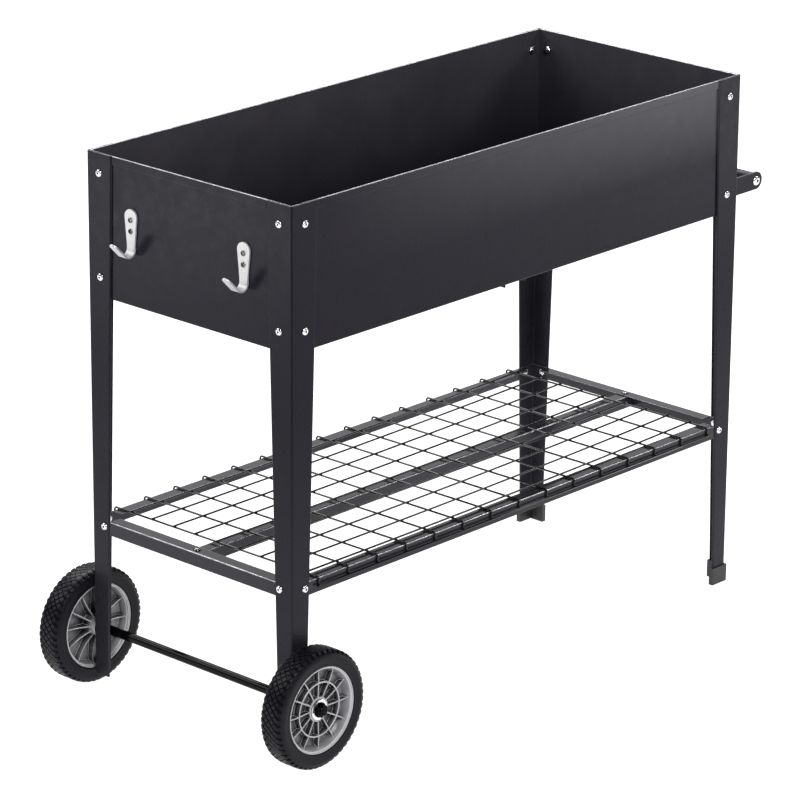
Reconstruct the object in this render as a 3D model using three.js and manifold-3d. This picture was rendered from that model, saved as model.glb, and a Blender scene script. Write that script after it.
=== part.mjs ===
// A raised garden planter on four sheet-metal legs: a rectangular planting tub, a wire
// shelf on an angle-iron frame, two strip hooks for tools, a push handle at one end and a
// pair of solid-rubber wheels on a through axle at the other end.
//
// Millimetres, +Z up. X runs along the planter (wheels and hooks at -X, handle at +X),
// Y runs across it. The ground is z = 0. "Front" is -Y, "left" is the wheel end, -X.

import * as THREE from 'three';
import { mergeVertices } from 'three/addons/utils/BufferGeometryUtils.js';
import Module from 'manifold-3d';

const wasm = await Module();
wasm.setup();

// ---------------------------------------------------------------- driving dimensions

const LENGTH = 948;              // over the legs, along X
const WIDTH = 394.4;             // over the legs, along Y
const HEIGHT = 800;              // ground to the tub's rim
const TUB_BOTTOM = 590.7;        // underside of the tub
const GAP = 0.3;                 // clearance kept between neighbouring solids

// legs: tapered angles of folded sheet
const LEG_SHEET = 1.2;
const LEG_TOP = 799.8;
const LEG_LIP = 2.9;             // depth of the return lip along each free edge
const LEG_CORNER_RADIUS = 2.6;
const SIDE_FLANGE_TOP = 50.6;    // flange that faces front or back
const SIDE_FLANGE_FLOOR = 27.2;
const END_FLANGE_TOP = 48.2;     // flange that faces the planter's end
const END_FLANGE_FLOOR = 26.4;
const WHEEL_LEG_FOOT = 20;       // the wheel-side legs stop short of the ground
const CAPPED_LEG_FOOT = 3.3;     // the other two stand in plastic caps

// foot caps
const CAP_HEIGHT = 27;
const CAP_WALL = 2;
const CAP_FLOOR = 3;

// tub
const PANEL_SHEET = 0.9;
const PANEL_RECESS = 3.3;        // leg face to panel face
const HEM_HEIGHT = 12.5;         // folded rim
const HEM_PROUD = 2;             // how far the rim stands out from the panel
const BOTTOM_FLANGE = 15;        // inward flange that carries the floor
const FLOOR_EDGE = 11;           // depth of the floor trays' turned-down edges
const FLOOR_SHEET = 0.9;
const DRAIN_RADIUS = 5;
const SUPPORT_WIDTH = 44;        // cross channel under the joint of the floor trays
const SUPPORT_DEPTH = 14;
const SUPPORT_SHEET = 1.2;

// shelf frame
const RAIL_TOP = 259;
const RAIL_HEIGHT = 20.5;
const RAIL_FLANGE = 20;
const RAIL_SHEET = 1.2;
const CENTRE_RAIL_WIDTH = 20;
const CENTRE_RAIL_DEPTH = 18.5;
const CENTRE_RAIL_Y = -1.5;

// wire shelf
const WIRE = 3;
const CROSS_WIRES = 15;          // they run across, along Y
const CROSS_PITCH = 60.2;
const FIRST_CROSS_X = -426;
const LONG_WIRES = 9;            // they run along X
const LONG_PITCH = 42.6;
const LONG_SHIFT = -3.7;         // the long wires' middle one, off the centre line
const LONG_TURN = 0.0138;        // they run slightly askew, in radians
const WIRE_OVERHANG = 3;         // long wires stand past the end cross wires
const WIRE_DROP = 15.5;          // the cross wires' ends turn down over the side rails
const BORDER_RISE = 0.5;          // the border wire's underside above the wires' turned-down tips
const WELD_DEPTH = 0.6;          // how far crossing wires sink into each other
const MAT_SKEW = 0.0145;         // the cross wires are slightly out of square too
const BACK_PLAY = 3.5;           // extra play over the back rail, so the mat drops in easily

// fasteners
const BOLT_INSET_SIDE = 25;      // bolt line to the leg's corner, front and back faces
const BOLT_INSET_END = 24;       // the same on the end faces
const TUB_BOLT_HEIGHTS = [771, 621];
const SHELF_BOLT_HEIGHT = 250.5;
const BOLT_RADIUS = 2.9;
const BOLT_HEAD_RADIUS = 5.5;
const BOLT_HEAD_HEIGHT = 2.6;
const BOLT_HEAD_ROUNDING = 1.2;
const HANDLE_BOLT_HEAD_RADIUS = 7.3;
const NUT_RADIUS = 5;
const NUT_HEIGHT = 5;
const HOLE_RADIUS = 3.7;

// handle
const HANDLE_X = 537;            // axis of the tube
const HANDLE_Z = TUB_BOLT_HEIGHTS[1];
const HANDLE_RADIUS = 11;
const HANDLE_WALL = 1.4;
const HANDLE_INSERT = 12;        // threaded insert at each end of the tube
const BRACKET_SHEET = 3;
const BRACKET_HEIGHT = 27;
const BRACKET_FACE = 183.2;      // outer face of each bracket arm, from the centre line
const BRACKET_TAB = 24;

// tool hooks
const HOOK_YS = [112.2, -105.9];
const HOOK_TOP = 731.5;
const HOOK_SHEET = 2.5;
const HOOK_WIDTH = 23;
const HOOK_STEM_WIDTH = 15;
const HOOK_SHOULDER = 680;       // height where the taper ends
const HOOK_BEND_RADIUS = 10;
const HOOK_BEND_HEIGHT = 675;
const HOOK_ARM = 28.5;

// wheels and axle
const WHEEL_RADIUS = 86.3;
const WHEEL_X = -459.5;
const WHEEL_Y = 222;
const TYRE_HALF = 19.6;
const TREAD_HALF = 13.5;
const RIM_RADIUS = 63;
const BARREL_RADIUS = 60;
const HUB_BOSS_RADIUS = 18;
const AXLE_RADIUS = 6.8;
const AXLE_BORE = 7.3;
const WHEEL_SIDES = 24;

const HALF_LENGTH = LENGTH / 2;
const HALF_WIDTH = WIDTH / 2;
const PANEL_X = HALF_LENGTH - PANEL_RECESS;
const PANEL_Y = HALF_WIDTH - PANEL_RECESS;
const RAIL_X = HALF_LENGTH - LEG_SHEET - GAP;
const RAIL_Y = HALF_WIDTH - LEG_SHEET - GAP;

// ---------------------------------------------------------------- materials

const finish = (color, roughness, metalness) =>
  new THREE.MeshStandardMaterial({ color, roughness, metalness });

const BLACK_COAT = finish(0x2b2a2e, 0.5, 0.3);
const WIRE_COAT = finish(0x18181a, 0.45, 0.3);
const GLOSS_BLACK = finish(0x0c0c0d, 0.25, 0.4);
const BRIGHT_STEEL = finish(0xc9c9cb, 0.25, 1);
const BLACK_PLASTIC = finish(0x1b1b1c, 0.6, 0);
const BLACK_RUBBER = finish(0x1c1c1f, 0.8, 0);
const GREY_PLASTIC = finish(0x9b9ba0, 0.45, 0);

// ---------------------------------------------------------------- solid helpers

/** A manifold solid from a three.js geometry. */
function solid(geometry) {
  const bare = geometry.clone();
  bare.deleteAttribute('normal');
  bare.deleteAttribute('uv');
  const merged = mergeVertices(bare, 1e-4);
  return new wasm.Manifold(new wasm.Mesh({
    numProp: 3,
    vertProperties: Float32Array.from(merged.attributes.position.array),
    triVerts: Uint32Array.from(merged.index.array),
  }));
}

/** A three.js geometry from a manifold solid. */
function geometryOf(manifold) {
  const { vertProperties, triVerts } = manifold.getMesh();
  const geometry = new THREE.BufferGeometry();
  geometry.setAttribute('position', new THREE.BufferAttribute(Float32Array.from(vertProperties), 3));
  geometry.setIndex(new THREE.BufferAttribute(Uint32Array.from(triVerts), 1));
  geometry.computeVertexNormals();
  return geometry;
}

/** A box between two opposite corners, given in any order. */
function box([x0, y0, z0], [x1, y1, z1]) {
  const geometry = new THREE.BoxGeometry(Math.abs(x1 - x0), Math.abs(y1 - y0), Math.abs(z1 - z0));
  return geometry.translate((x0 + x1) / 2, (y0 + y1) / 2, (z0 + z1) / 2);
}

/** A drill along 'x', 'y' or 'z', centred on a point. */
function drill(axis, radius, length, [x, y, z], sides = 8) {
  const geometry = new THREE.CylinderGeometry(radius, radius, length, sides);
  if (axis === 'x') geometry.rotateZ(Math.PI / 2);
  if (axis === 'z') geometry.rotateX(Math.PI / 2);
  return geometry.translate(x, y, z);
}

/** Cuts every geometry in a list out of a solid. */
const cut = (body, tools) => tools.reduce((left, tool) => left.subtract(solid(tool)), body);

/** Joins a list of geometries into one solid. */
const join = (geometries) => geometries.slice(1).reduce((sum, g) => sum.add(solid(g)), solid(geometries[0]));

/** An outline in a plane, extruded along the third axis from `from` to `to`. */
function prism(points, along, from, to) {
  const shape = new THREE.Shape(points.map(([a, b]) => new THREE.Vector2(a, b)));
  const geometry = new THREE.ExtrudeGeometry(shape, { depth: to - from, bevelEnabled: false });
  geometry.translate(0, 0, from);
  if (along === 'x') {                       // outline given as (y, z)
    return geometry.applyMatrix4(new THREE.Matrix4().set(0, 0, 1, 0, 1, 0, 0, 0, 0, 1, 0, 0, 0, 0, 0, 1));
  }
  if (along === 'y') {                       // outline given as (z, x)
    return geometry.applyMatrix4(new THREE.Matrix4().set(0, 1, 0, 0, 0, 0, 1, 0, 1, 0, 0, 0, 0, 0, 0, 1));
  }
  return geometry;                           // along z, outline given as (x, y)
}

/** A turned solid about Y from [radius, y] points. */
const turned = (points, sides) =>
  new THREE.LatheGeometry(points.map(([r, y]) => new THREE.Vector2(r, y)), sides);

// ---------------------------------------------------------------- the assembly

const planter = new THREE.Group();
const HANDLE_REACH = HANDLE_X + BRACKET_HEIGHT / 2;
const WHEEL_REACH = WHEEL_X - WHEEL_RADIUS;
planter.position.x = -(HANDLE_REACH + WHEEL_REACH) / 2;   // origin at the middle of the length

function part(name, geometry, material, parent = planter) {
  const mesh = new THREE.Mesh(geometry, material);
  mesh.name = name;
  parent.add(mesh);
  return mesh;
}

const ENDS = { left: -1, right: 1 };
const SIDES = { front: -1, back: 1 };

// ---------------------------------------------------------------- legs

const sideFlangeAt = (z) => SIDE_FLANGE_FLOOR + (SIDE_FLANGE_TOP - SIDE_FLANGE_FLOOR) * z / HEIGHT;
const endFlangeAt = (z) => END_FLANGE_FLOOR + (END_FLANGE_TOP - END_FLANGE_FLOOR) * z / HEIGHT;

/** The folded angle's section, u along the front or back face and v along the end face. */
function legSection(sideFlange, endFlange) {
  const corner = [0, 1, 2, 3].map((step) => {
    const angle = Math.PI + step * Math.PI / 6;
    return [LEG_CORNER_RADIUS * (1 + Math.cos(angle)), LEG_CORNER_RADIUS * (1 + Math.sin(angle))];
  });
  return [
    ...corner,
    [sideFlange, 0], [sideFlange, LEG_LIP], [sideFlange - LEG_SHEET, LEG_LIP],
    [sideFlange - LEG_SHEET, LEG_SHEET], [LEG_SHEET, LEG_SHEET],
    [LEG_SHEET, endFlange - LEG_SHEET], [LEG_LIP, endFlange - LEG_SHEET],
    [LEG_LIP, endFlange], [0, endFlange],
  ];
}

function leg(end, side) {
  const foot = end < 0 ? WHEEL_LEG_FOOT : CAPPED_LEG_FOOT;
  const geometry = prism(legSection(SIDE_FLANGE_TOP, END_FLANGE_TOP), 'z', foot, LEG_TOP);

  // the free edges lean in towards the foot, so both flanges taper
  const position = geometry.attributes.position;
  for (let i = 0; i < position.count; i += 1) {
    const z = position.getZ(i);
    if (position.getX(i) > LEG_LIP + 1) {
      position.setX(i, position.getX(i) - (SIDE_FLANGE_TOP - sideFlangeAt(z)));
    }
    if (position.getY(i) > LEG_LIP + 1) {
      position.setY(i, position.getY(i) - (END_FLANGE_TOP - endFlangeAt(z)));
    }
  }

  const tools = [];
  for (const z of [...TUB_BOLT_HEIGHTS, SHELF_BOLT_HEIGHT]) {
    tools.push(drill('y', HOLE_RADIUS, 2 * LEG_SHEET, [BOLT_INSET_SIDE, LEG_SHEET / 2, z]));
    tools.push(drill('x', HOLE_RADIUS, 2 * LEG_SHEET, [LEG_SHEET / 2, BOLT_INSET_END, z]));
  }
  // notches let the shelf rails pass the return lips and bear on the flanges
  const notch = [RAIL_TOP - RAIL_HEIGHT - 1, RAIL_TOP + 1];
  tools.push(box([BOLT_INSET_SIDE + 5, LEG_SHEET, notch[0]], [BOLT_INSET_SIDE + 15, LEG_LIP + 1, notch[1]]));
  tools.push(box([LEG_SHEET, BOLT_INSET_END + 5, notch[0]], [LEG_LIP + 1, BOLT_INSET_END + 15, notch[1]]));
  if (end < 0) {
    const axleInset = WHEEL_X + HALF_LENGTH;
    tools.push(drill('y', AXLE_BORE, 2 * LEG_SHEET, [axleInset, LEG_SHEET / 2, WHEEL_RADIUS], 12));
  }
  let body = cut(solid(geometry), tools);
  if (end > 0) body = body.mirror([1, 0, 0]);
  if (side > 0) body = body.mirror([0, 1, 0]);
  return body.translate([end * HALF_LENGTH, side * HALF_WIDTH, 0]);
}

for (const [endName, end] of Object.entries(ENDS)) {
  for (const [sideName, side] of Object.entries(SIDES)) {
    part(`${sideName}_${endName}_leg`, geometryOf(leg(end, side)), BLACK_COAT);
  }
}

// ---------------------------------------------------------------- foot caps on the handle-end legs

/** An L in plan, grown outwards by `grow` on every side. */
function capOutline(grow) {
  const length = [SIDE_FLANGE_FLOOR + 1 + grow, END_FLANGE_FLOOR + 1 + grow];
  const inner = LEG_LIP + grow;
  return [[-grow, -grow], [length[0], -grow], [length[0], inner], [inner, inner],
    [inner, length[1]], [-grow, length[1]]];
}

for (const [sideName, side] of Object.entries(SIDES)) {
  const outer = solid(prism(capOutline(GAP + CAP_WALL), 'z', 0, CAP_HEIGHT));
  const pocket = prism(capOutline(GAP), 'z', CAP_FLOOR, CAP_HEIGHT + 1);
  let cap = cut(outer, [pocket]).mirror([1, 0, 0]);
  if (side > 0) cap = cap.mirror([0, 1, 0]);
  cap = cap.translate([HALF_LENGTH, side * HALF_WIDTH, 0]);
  part(`${sideName}_foot_cap`, geometryOf(cap), BLACK_PLASTIC);
}

// ---------------------------------------------------------------- tub panels

/** Section of a tub wall, a outwards from the tub's middle and z up, outer face at a = reach. */
const wallSection = (reach) => [
  [reach, TUB_BOTTOM], [reach, HEIGHT], [reach - PANEL_SHEET, HEIGHT],
  [reach - PANEL_SHEET, TUB_BOTTOM + PANEL_SHEET],
  [reach - BOTTOM_FLANGE, TUB_BOTTOM + PANEL_SHEET], [reach - BOTTOM_FLANGE, TUB_BOTTOM],
];

const hemStart = (flangeTop) => flangeTop + 1;

// front and back: full length, the bottom flange stops short of the end panels
const sideHem = HALF_LENGTH - hemStart(SIDE_FLANGE_TOP);
const sideFlangeEnd = PANEL_X - BOTTOM_FLANGE - GAP;
for (const [sideName, side] of Object.entries(SIDES)) {
  const section = wallSection(PANEL_Y).map(([a, z]) => [side * a, z]);
  const wall = prism(section, 'x', -PANEL_X, PANEL_X);
  const rim = box([-sideHem, side * (PANEL_Y - PANEL_SHEET / 2), HEIGHT - HEM_HEIGHT],
    [sideHem, side * (PANEL_Y + HEM_PROUD), HEIGHT]);
  const tools = [];
  for (const end of Object.values(ENDS)) {
    tools.push(box([end * sideFlangeEnd, side * (PANEL_Y - PANEL_SHEET), TUB_BOTTOM - 1],
      [end * (PANEL_X + 1), side * (PANEL_Y - BOTTOM_FLANGE - 1), TUB_BOTTOM + PANEL_SHEET + 1]));
    for (const z of TUB_BOLT_HEIGHTS) {
      tools.push(drill('y', HOLE_RADIUS, 4, [end * (HALF_LENGTH - BOLT_INSET_SIDE), side * PANEL_Y, z]));
    }
  }
  part(`${sideName}_panel`, geometryOf(cut(join([wall, rim]), tools)), BLACK_COAT);
}

// ends: between the front and back panels
const endPanelHalf = PANEL_Y - PANEL_SHEET - GAP;
const endHem = HALF_WIDTH - hemStart(END_FLANGE_TOP);
for (const [endName, end] of Object.entries(ENDS)) {
  const section = wallSection(PANEL_X).map(([a, z]) => [z, end * a]);
  const wall = prism(section, 'y', -endPanelHalf, endPanelHalf);
  const rim = box([end * (PANEL_X - PANEL_SHEET / 2), -endHem, HEIGHT - HEM_HEIGHT],
    [end * (PANEL_X + HEM_PROUD), endHem, HEIGHT]);
  const tools = [];
  for (const side of Object.values(SIDES)) {
    for (const z of TUB_BOLT_HEIGHTS) {
      tools.push(drill('x', HOLE_RADIUS, 4, [end * PANEL_X, side * (HALF_WIDTH - BOLT_INSET_END), z]));
    }
  }
  part(`${endName}_end_panel`, geometryOf(cut(join([wall, rim]), tools)), BLACK_COAT);
}

// ---------------------------------------------------------------- tub floor

const floorBase = TUB_BOTTOM + PANEL_SHEET + GAP;
const floorTop = floorBase + SUPPORT_SHEET + GAP + FLOOR_EDGE;
const floorHalfWidth = PANEL_Y - PANEL_SHEET - GAP - 0.5;
const floorOuter = PANEL_X - PANEL_SHEET - GAP - 0.5;
const DRAIN_PLACES = [[0.3, 0.5], [0.3, -0.5], [0.72, 0.5], [0.72, -0.5]];

for (const [endName, end] of Object.entries(ENDS)) {
  const outer = box([end * GAP, -floorHalfWidth, floorBase], [end * floorOuter, floorHalfWidth, floorTop]);
  const hollow = box([end * (GAP + FLOOR_SHEET), -floorHalfWidth + FLOOR_SHEET, floorBase - 1],
    [end * (floorOuter - FLOOR_SHEET), floorHalfWidth - FLOOR_SHEET, floorTop - FLOOR_SHEET]);
  const supportRoom = box([0, -floorHalfWidth - 1, floorBase - 1],
    [end * (SUPPORT_WIDTH / 2 + 1), floorHalfWidth + 1, floorBase + SUPPORT_SHEET + GAP]);
  const drains = DRAIN_PLACES.map(([along, across]) =>
    drill('z', DRAIN_RADIUS, 6, [end * along * floorOuter, across * floorHalfWidth, floorTop]));
  const tray = cut(solid(outer), [hollow, supportRoom, ...drains]);
  part(`${endName}_floor_panel`, geometryOf(tray), BLACK_COAT);
}

// the cross channel rests on the side panels' bottom flanges, its webs hang between them
const supportWeb = PANEL_Y - BOTTOM_FLANGE - 2;
const supportTop = floorBase + SUPPORT_SHEET;
const supportBar = join([
  box([-SUPPORT_WIDTH / 2, -(PANEL_Y - 3), floorBase], [SUPPORT_WIDTH / 2, PANEL_Y - 3, supportTop]),
  ...[-1, 1].map((way) => box(
    [way * SUPPORT_WIDTH / 2, -supportWeb, supportTop - SUPPORT_DEPTH],
    [way * (SUPPORT_WIDTH / 2 - SUPPORT_SHEET), supportWeb, supportTop - SUPPORT_SHEET / 2])),
]);
part('floor_support_bar', geometryOf(supportBar), BLACK_COAT);

// ---------------------------------------------------------------- shelf frame

const railBottom = RAIL_TOP - RAIL_HEIGHT;

// front and back rails: angles whose top flange stops clear of the legs
const flangeReach = HALF_LENGTH - sideFlangeAt(RAIL_TOP) - 0.5;
const sideRailEnd = RAIL_X - RAIL_SHEET - GAP;
for (const [sideName, side] of Object.entries(SIDES)) {
  const web = box([-sideRailEnd, side * RAIL_Y, railBottom],
    [sideRailEnd, side * (RAIL_Y - RAIL_SHEET), RAIL_TOP]);
  const flange = box([-flangeReach, side * RAIL_Y, RAIL_TOP - RAIL_SHEET],
    [flangeReach, side * (RAIL_Y - RAIL_FLANGE), RAIL_TOP]);
  const holes = Object.values(ENDS).map((end) => drill('y', HOLE_RADIUS, 4,
    [end * (HALF_LENGTH - BOLT_INSET_SIDE), side * (RAIL_Y - RAIL_SHEET / 2), SHELF_BOLT_HEIGHT]));
  part(`${sideName}_shelf_rail`, geometryOf(cut(join([web, flange]), holes)), BLACK_COAT);
}

// end rails: the same angle across the ends
const endFlangeReach = HALF_WIDTH - endFlangeAt(RAIL_TOP) - 0.5;
const endRailEnd = RAIL_Y - RAIL_SHEET - GAP;
for (const [endName, end] of Object.entries(ENDS)) {
  const web = box([end * RAIL_X, -endRailEnd, railBottom],
    [end * (RAIL_X - RAIL_SHEET), endRailEnd, RAIL_TOP]);
  const flange = box([end * RAIL_X, -endFlangeReach, RAIL_TOP - RAIL_SHEET],
    [end * (RAIL_X - RAIL_FLANGE), endFlangeReach, RAIL_TOP]);
  const holes = Object.values(SIDES).map((side) => drill('x', HOLE_RADIUS, 4,
    [end * (RAIL_X - RAIL_SHEET / 2), side * (HALF_WIDTH - BOLT_INSET_END), SHELF_BOLT_HEIGHT]));
  part(`${endName}_shelf_rail`, geometryOf(cut(join([web, flange]), holes)), BLACK_COAT);
}

// centre rail: a channel, open below, tucked under the end rails' top flanges
const centreTop = RAIL_TOP - RAIL_SHEET - GAP;
const centreHalf = CENTRE_RAIL_WIDTH / 2;
const centreSection = [
  [-centreHalf, centreTop - CENTRE_RAIL_DEPTH], [-centreHalf, centreTop],
  [centreHalf, centreTop], [centreHalf, centreTop - CENTRE_RAIL_DEPTH],
  [centreHalf - RAIL_SHEET, centreTop - CENTRE_RAIL_DEPTH],
  [centreHalf - RAIL_SHEET, centreTop - RAIL_SHEET],
  [-centreHalf + RAIL_SHEET, centreTop - RAIL_SHEET],
  [-centreHalf + RAIL_SHEET, centreTop - CENTRE_RAIL_DEPTH],
].map(([y, z]) => [y + CENTRE_RAIL_Y, z]);
const centreEnd = RAIL_X - RAIL_SHEET - GAP;
part('centre_shelf_rail', prism(centreSection, 'x', -centreEnd, centreEnd), BLACK_COAT);

// ---------------------------------------------------------------- wire shelf

const shelfBase = RAIL_TOP + GAP;                      // underside of the cross wires
const shelfReach = RAIL_Y + GAP + WIRE;                // outer face of the turned-down ends
const crossTop = shelfBase + WIRE;
const dropEnd = crossTop - WIRE_DROP;
const lastCrossX = FIRST_CROSS_X + (CROSS_WIRES - 1) * CROSS_PITCH;

const backReach = shelfReach + BACK_PLAY;
const hoopOutline = [
  [-shelfReach, dropEnd], [-shelfReach, crossTop], [backReach, crossTop], [backReach, dropEnd],
  [backReach - WIRE, dropEnd], [backReach - WIRE, shelfBase],
  [-shelfReach + WIRE, shelfBase], [-shelfReach + WIRE, dropEnd],
];
const shelfWires = [];
for (let i = 0; i < CROSS_WIRES; i += 1) {
  const x = FIRST_CROSS_X + i * CROSS_PITCH;
  shelfWires.push(prism(hoopOutline, 'x', x - WIRE / 2, x + WIRE / 2));
}
const longFrom = FIRST_CROSS_X - WIRE / 2 - WIRE_OVERHANG;
const longTo = lastCrossX + WIRE / 2 + WIRE_OVERHANG;
const matMiddle = (longFrom + longTo) / 2;
for (let i = 0; i < LONG_WIRES; i += 1) {
  const y = (i - (LONG_WIRES - 1) / 2) * LONG_PITCH + LONG_SHIFT;
  const wire = box([longFrom, y - WIRE / 2, crossTop - WELD_DEPTH],
    [longTo, y + WIRE / 2, crossTop - WELD_DEPTH + WIRE]);
  shelfWires.push(wire.translate(-matMiddle, 0, 0).rotateZ(LONG_TURN).translate(matMiddle, 0, 0));
}
// a border wire ties the turned-down ends together on the outside, at both sides
for (const inner of [-shelfReach + WELD_DEPTH - WIRE, backReach - WELD_DEPTH]) {
  shelfWires.push(box([longFrom, inner, dropEnd + BORDER_RISE],
    [longTo, inner + WIRE, dropEnd + BORDER_RISE + WIRE]));
}
const mat = geometryOf(join(shelfWires));
mat.applyMatrix4(new THREE.Matrix4().makeShear(0, 0, -MAT_SKEW, 0, 0, 0));
part('wire_shelf', mat, WIRE_COAT);

// ---------------------------------------------------------------- tool hooks

/** Side view of the bent strip: down the panel, round a J bend and up a slanting arm. */
function hookProfile() {
  const inner = HOOK_BEND_RADIUS - HOOK_SHEET / 2;
  const outer = HOOK_BEND_RADIUS + HOOK_SHEET / 2;
  const sweep = 3 * Math.PI / 4;
  const steps = 5;
  const back = -(PANEL_X + GAP);
  const centre = [back - outer, HOOK_BEND_HEIGHT];
  const arc = (radius, step) => {
    const angle = -sweep * step / steps;
    return [centre[0] + radius * Math.cos(angle), centre[1] + radius * Math.sin(angle)];
  };
  const reach = HOOK_ARM * Math.SQRT1_2;
  const outerArc = [...Array(steps + 1).keys()].map((step) => arc(outer, step));
  const innerArc = [...Array(steps + 1).keys()].map((step) => arc(inner, step));
  const tip = ([x, z]) => [x - reach, z + reach];
  return [
    [back, HOOK_TOP], ...outerArc, tip(outerArc[steps]), tip(innerArc[steps]),
    ...innerArc.reverse(), [back - HOOK_SHEET, HOOK_TOP],
  ];
}

/** Front view: a round head that narrows to the stem. */
function hookSilhouette(y) {
  const half = HOOK_WIDTH / 2;
  const stem = HOOK_STEM_WIDTH / 2;
  const head = [...Array(9).keys()].map((step) => {
    const angle = Math.PI * step / 8;
    return [y + half * Math.cos(angle), HOOK_TOP - half + half * Math.sin(angle)];
  });
  const bottom = HOOK_BEND_HEIGHT - HOOK_BEND_RADIUS - HOOK_SHEET;
  return [...head, [y - stem, HOOK_SHOULDER], [y - stem, bottom], [y + stem, bottom], [y + stem, HOOK_SHOULDER]];
}

['back_hook', 'front_hook'].forEach((name, index) => {
  const y = HOOK_YS[index];
  const side = prism(hookProfile().map(([x, z]) => [z, x]), 'y', y - HOOK_WIDTH, y + HOOK_WIDTH);
  const front = prism(hookSilhouette(y), 'x', -HALF_LENGTH - 60, -PANEL_X + 10);
  part(name, geometryOf(solid(side).intersect(solid(front))), BRIGHT_STEEL);
});

// ---------------------------------------------------------------- push handle

const handleBack = HALF_LENGTH + GAP;
for (const [sideName, side] of Object.entries(SIDES)) {
  const armInner = BRACKET_FACE - BRACKET_SHEET;
  const half = BRACKET_HEIGHT / 2;
  const tip = [...Array(9).keys()].map((step) => {
    const angle = Math.PI / 2 - Math.PI * step / 8;
    return [HANDLE_Z + half * Math.sin(angle), HANDLE_X + half * Math.cos(angle)];
  });
  const armOutline = [[HANDLE_Z - half, handleBack], [HANDLE_Z + half, handleBack], ...tip];
  const arm = prism(armOutline, 'y', Math.min(side * armInner, side * BRACKET_FACE),
    Math.max(side * armInner, side * BRACKET_FACE));
  const tab = box([handleBack, side * BRACKET_FACE, HANDLE_Z - half],
    [handleBack + BRACKET_SHEET, side * (BRACKET_FACE - BRACKET_TAB), HANDLE_Z + half]);
  const holes = [
    drill('x', HOLE_RADIUS, 10, [handleBack + 2, side * (HALF_WIDTH - BOLT_INSET_END), HANDLE_Z]),
    drill('y', HOLE_RADIUS, 10, [HANDLE_X, side * BRACKET_FACE, HANDLE_Z]),
  ];
  part(`${sideName}_handle_bracket`, geometryOf(cut(join([arm, tab]), holes)), BLACK_COAT);
}

const handleEnd = BRACKET_FACE - BRACKET_SHEET - GAP;
const handleBore = HANDLE_RADIUS - HANDLE_WALL;
const handleBar = part('handle_bar', turned([
  [HOLE_RADIUS, -handleEnd], [HANDLE_RADIUS, -handleEnd], [HANDLE_RADIUS, handleEnd],
  [HOLE_RADIUS, handleEnd], [HOLE_RADIUS, handleEnd - HANDLE_INSERT],
  [handleBore, handleEnd - HANDLE_INSERT], [handleBore, -handleEnd + HANDLE_INSERT],
  [HOLE_RADIUS, -handleEnd + HANDLE_INSERT], [HOLE_RADIUS, -handleEnd],
], 16), BLACK_COAT);
handleBar.position.set(HANDLE_X, 0, HANDLE_Z);

// ---------------------------------------------------------------- bolts

/** A pan-head bolt along Y: the head's underside is at y = 0 and the nut, if any, follows `grip`. */
function bolt(grip, tail = 0, withNut = true, headRadius = BOLT_HEAD_RADIUS) {
  const head = [[0, BOLT_HEAD_HEIGHT], [headRadius - BOLT_HEAD_ROUNDING, BOLT_HEAD_HEIGHT],
    [headRadius, 0], [BOLT_RADIUS, 0]];
  const nut = [[BOLT_RADIUS, -grip], [NUT_RADIUS, -grip], [NUT_RADIUS, -grip - NUT_HEIGHT]];
  const end = withNut ? [[0, -grip - NUT_HEIGHT]] : [[BOLT_RADIUS, -tail], [0, -tail]];
  return turned([...head, ...(withNut ? nut : []), ...end].reverse(), 8);
}

const tubGrip = PANEL_RECESS + PANEL_SHEET + 2 * GAP;
const shelfGrip = LEG_SHEET + RAIL_SHEET + 3 * GAP;
const bracketGrip = tubGrip + BRACKET_SHEET + GAP;

/** Puts a bolt on a face: `out` is the outward unit vector of that face. */
function placeBolt(name, geometry, place, out) {
  const mesh = part(name, geometry, BRIGHT_STEEL);
  mesh.position.set(...place);
  mesh.quaternion.setFromUnitVectors(new THREE.Vector3(0, 1, 0), new THREE.Vector3(...out));
}

const LEVELS = { top: TUB_BOLT_HEIGHTS[0], lower: TUB_BOLT_HEIGHTS[1], shelf: SHELF_BOLT_HEIGHT };
for (const [endName, end] of Object.entries(ENDS)) {
  for (const [sideName, side] of Object.entries(SIDES)) {
    for (const [level, z] of Object.entries(LEVELS)) {
      const grip = level === 'shelf' ? shelfGrip : tubGrip;
      placeBolt(`${level}_${sideName}_bolt_${endName}`, bolt(grip),
        [end * (HALF_LENGTH - BOLT_INSET_SIDE), side * (HALF_WIDTH + GAP), z], [0, side, 0]);
      const onBracket = end > 0 && level === 'lower';
      const endGrip = onBracket ? bracketGrip : grip;
      const stand = onBracket ? BRACKET_SHEET + 2 * GAP : GAP;
      placeBolt(`${level}_end_bolt_${sideName}_${endName}`, bolt(endGrip),
        [end * (HALF_LENGTH + stand), side * (HALF_WIDTH - BOLT_INSET_END), z], [end, 0, 0]);
    }
  }
}
for (const [sideName, side] of Object.entries(SIDES)) {
  placeBolt(`${sideName}_handle_bolt`, bolt(0, BRACKET_SHEET + HANDLE_INSERT, false, HANDLE_BOLT_HEAD_RADIUS),
    [HANDLE_X, side * (BRACKET_FACE + GAP), HANDLE_Z], [0, side, 0]);
}

// ---------------------------------------------------------------- wheels, axle and its end caps

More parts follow.
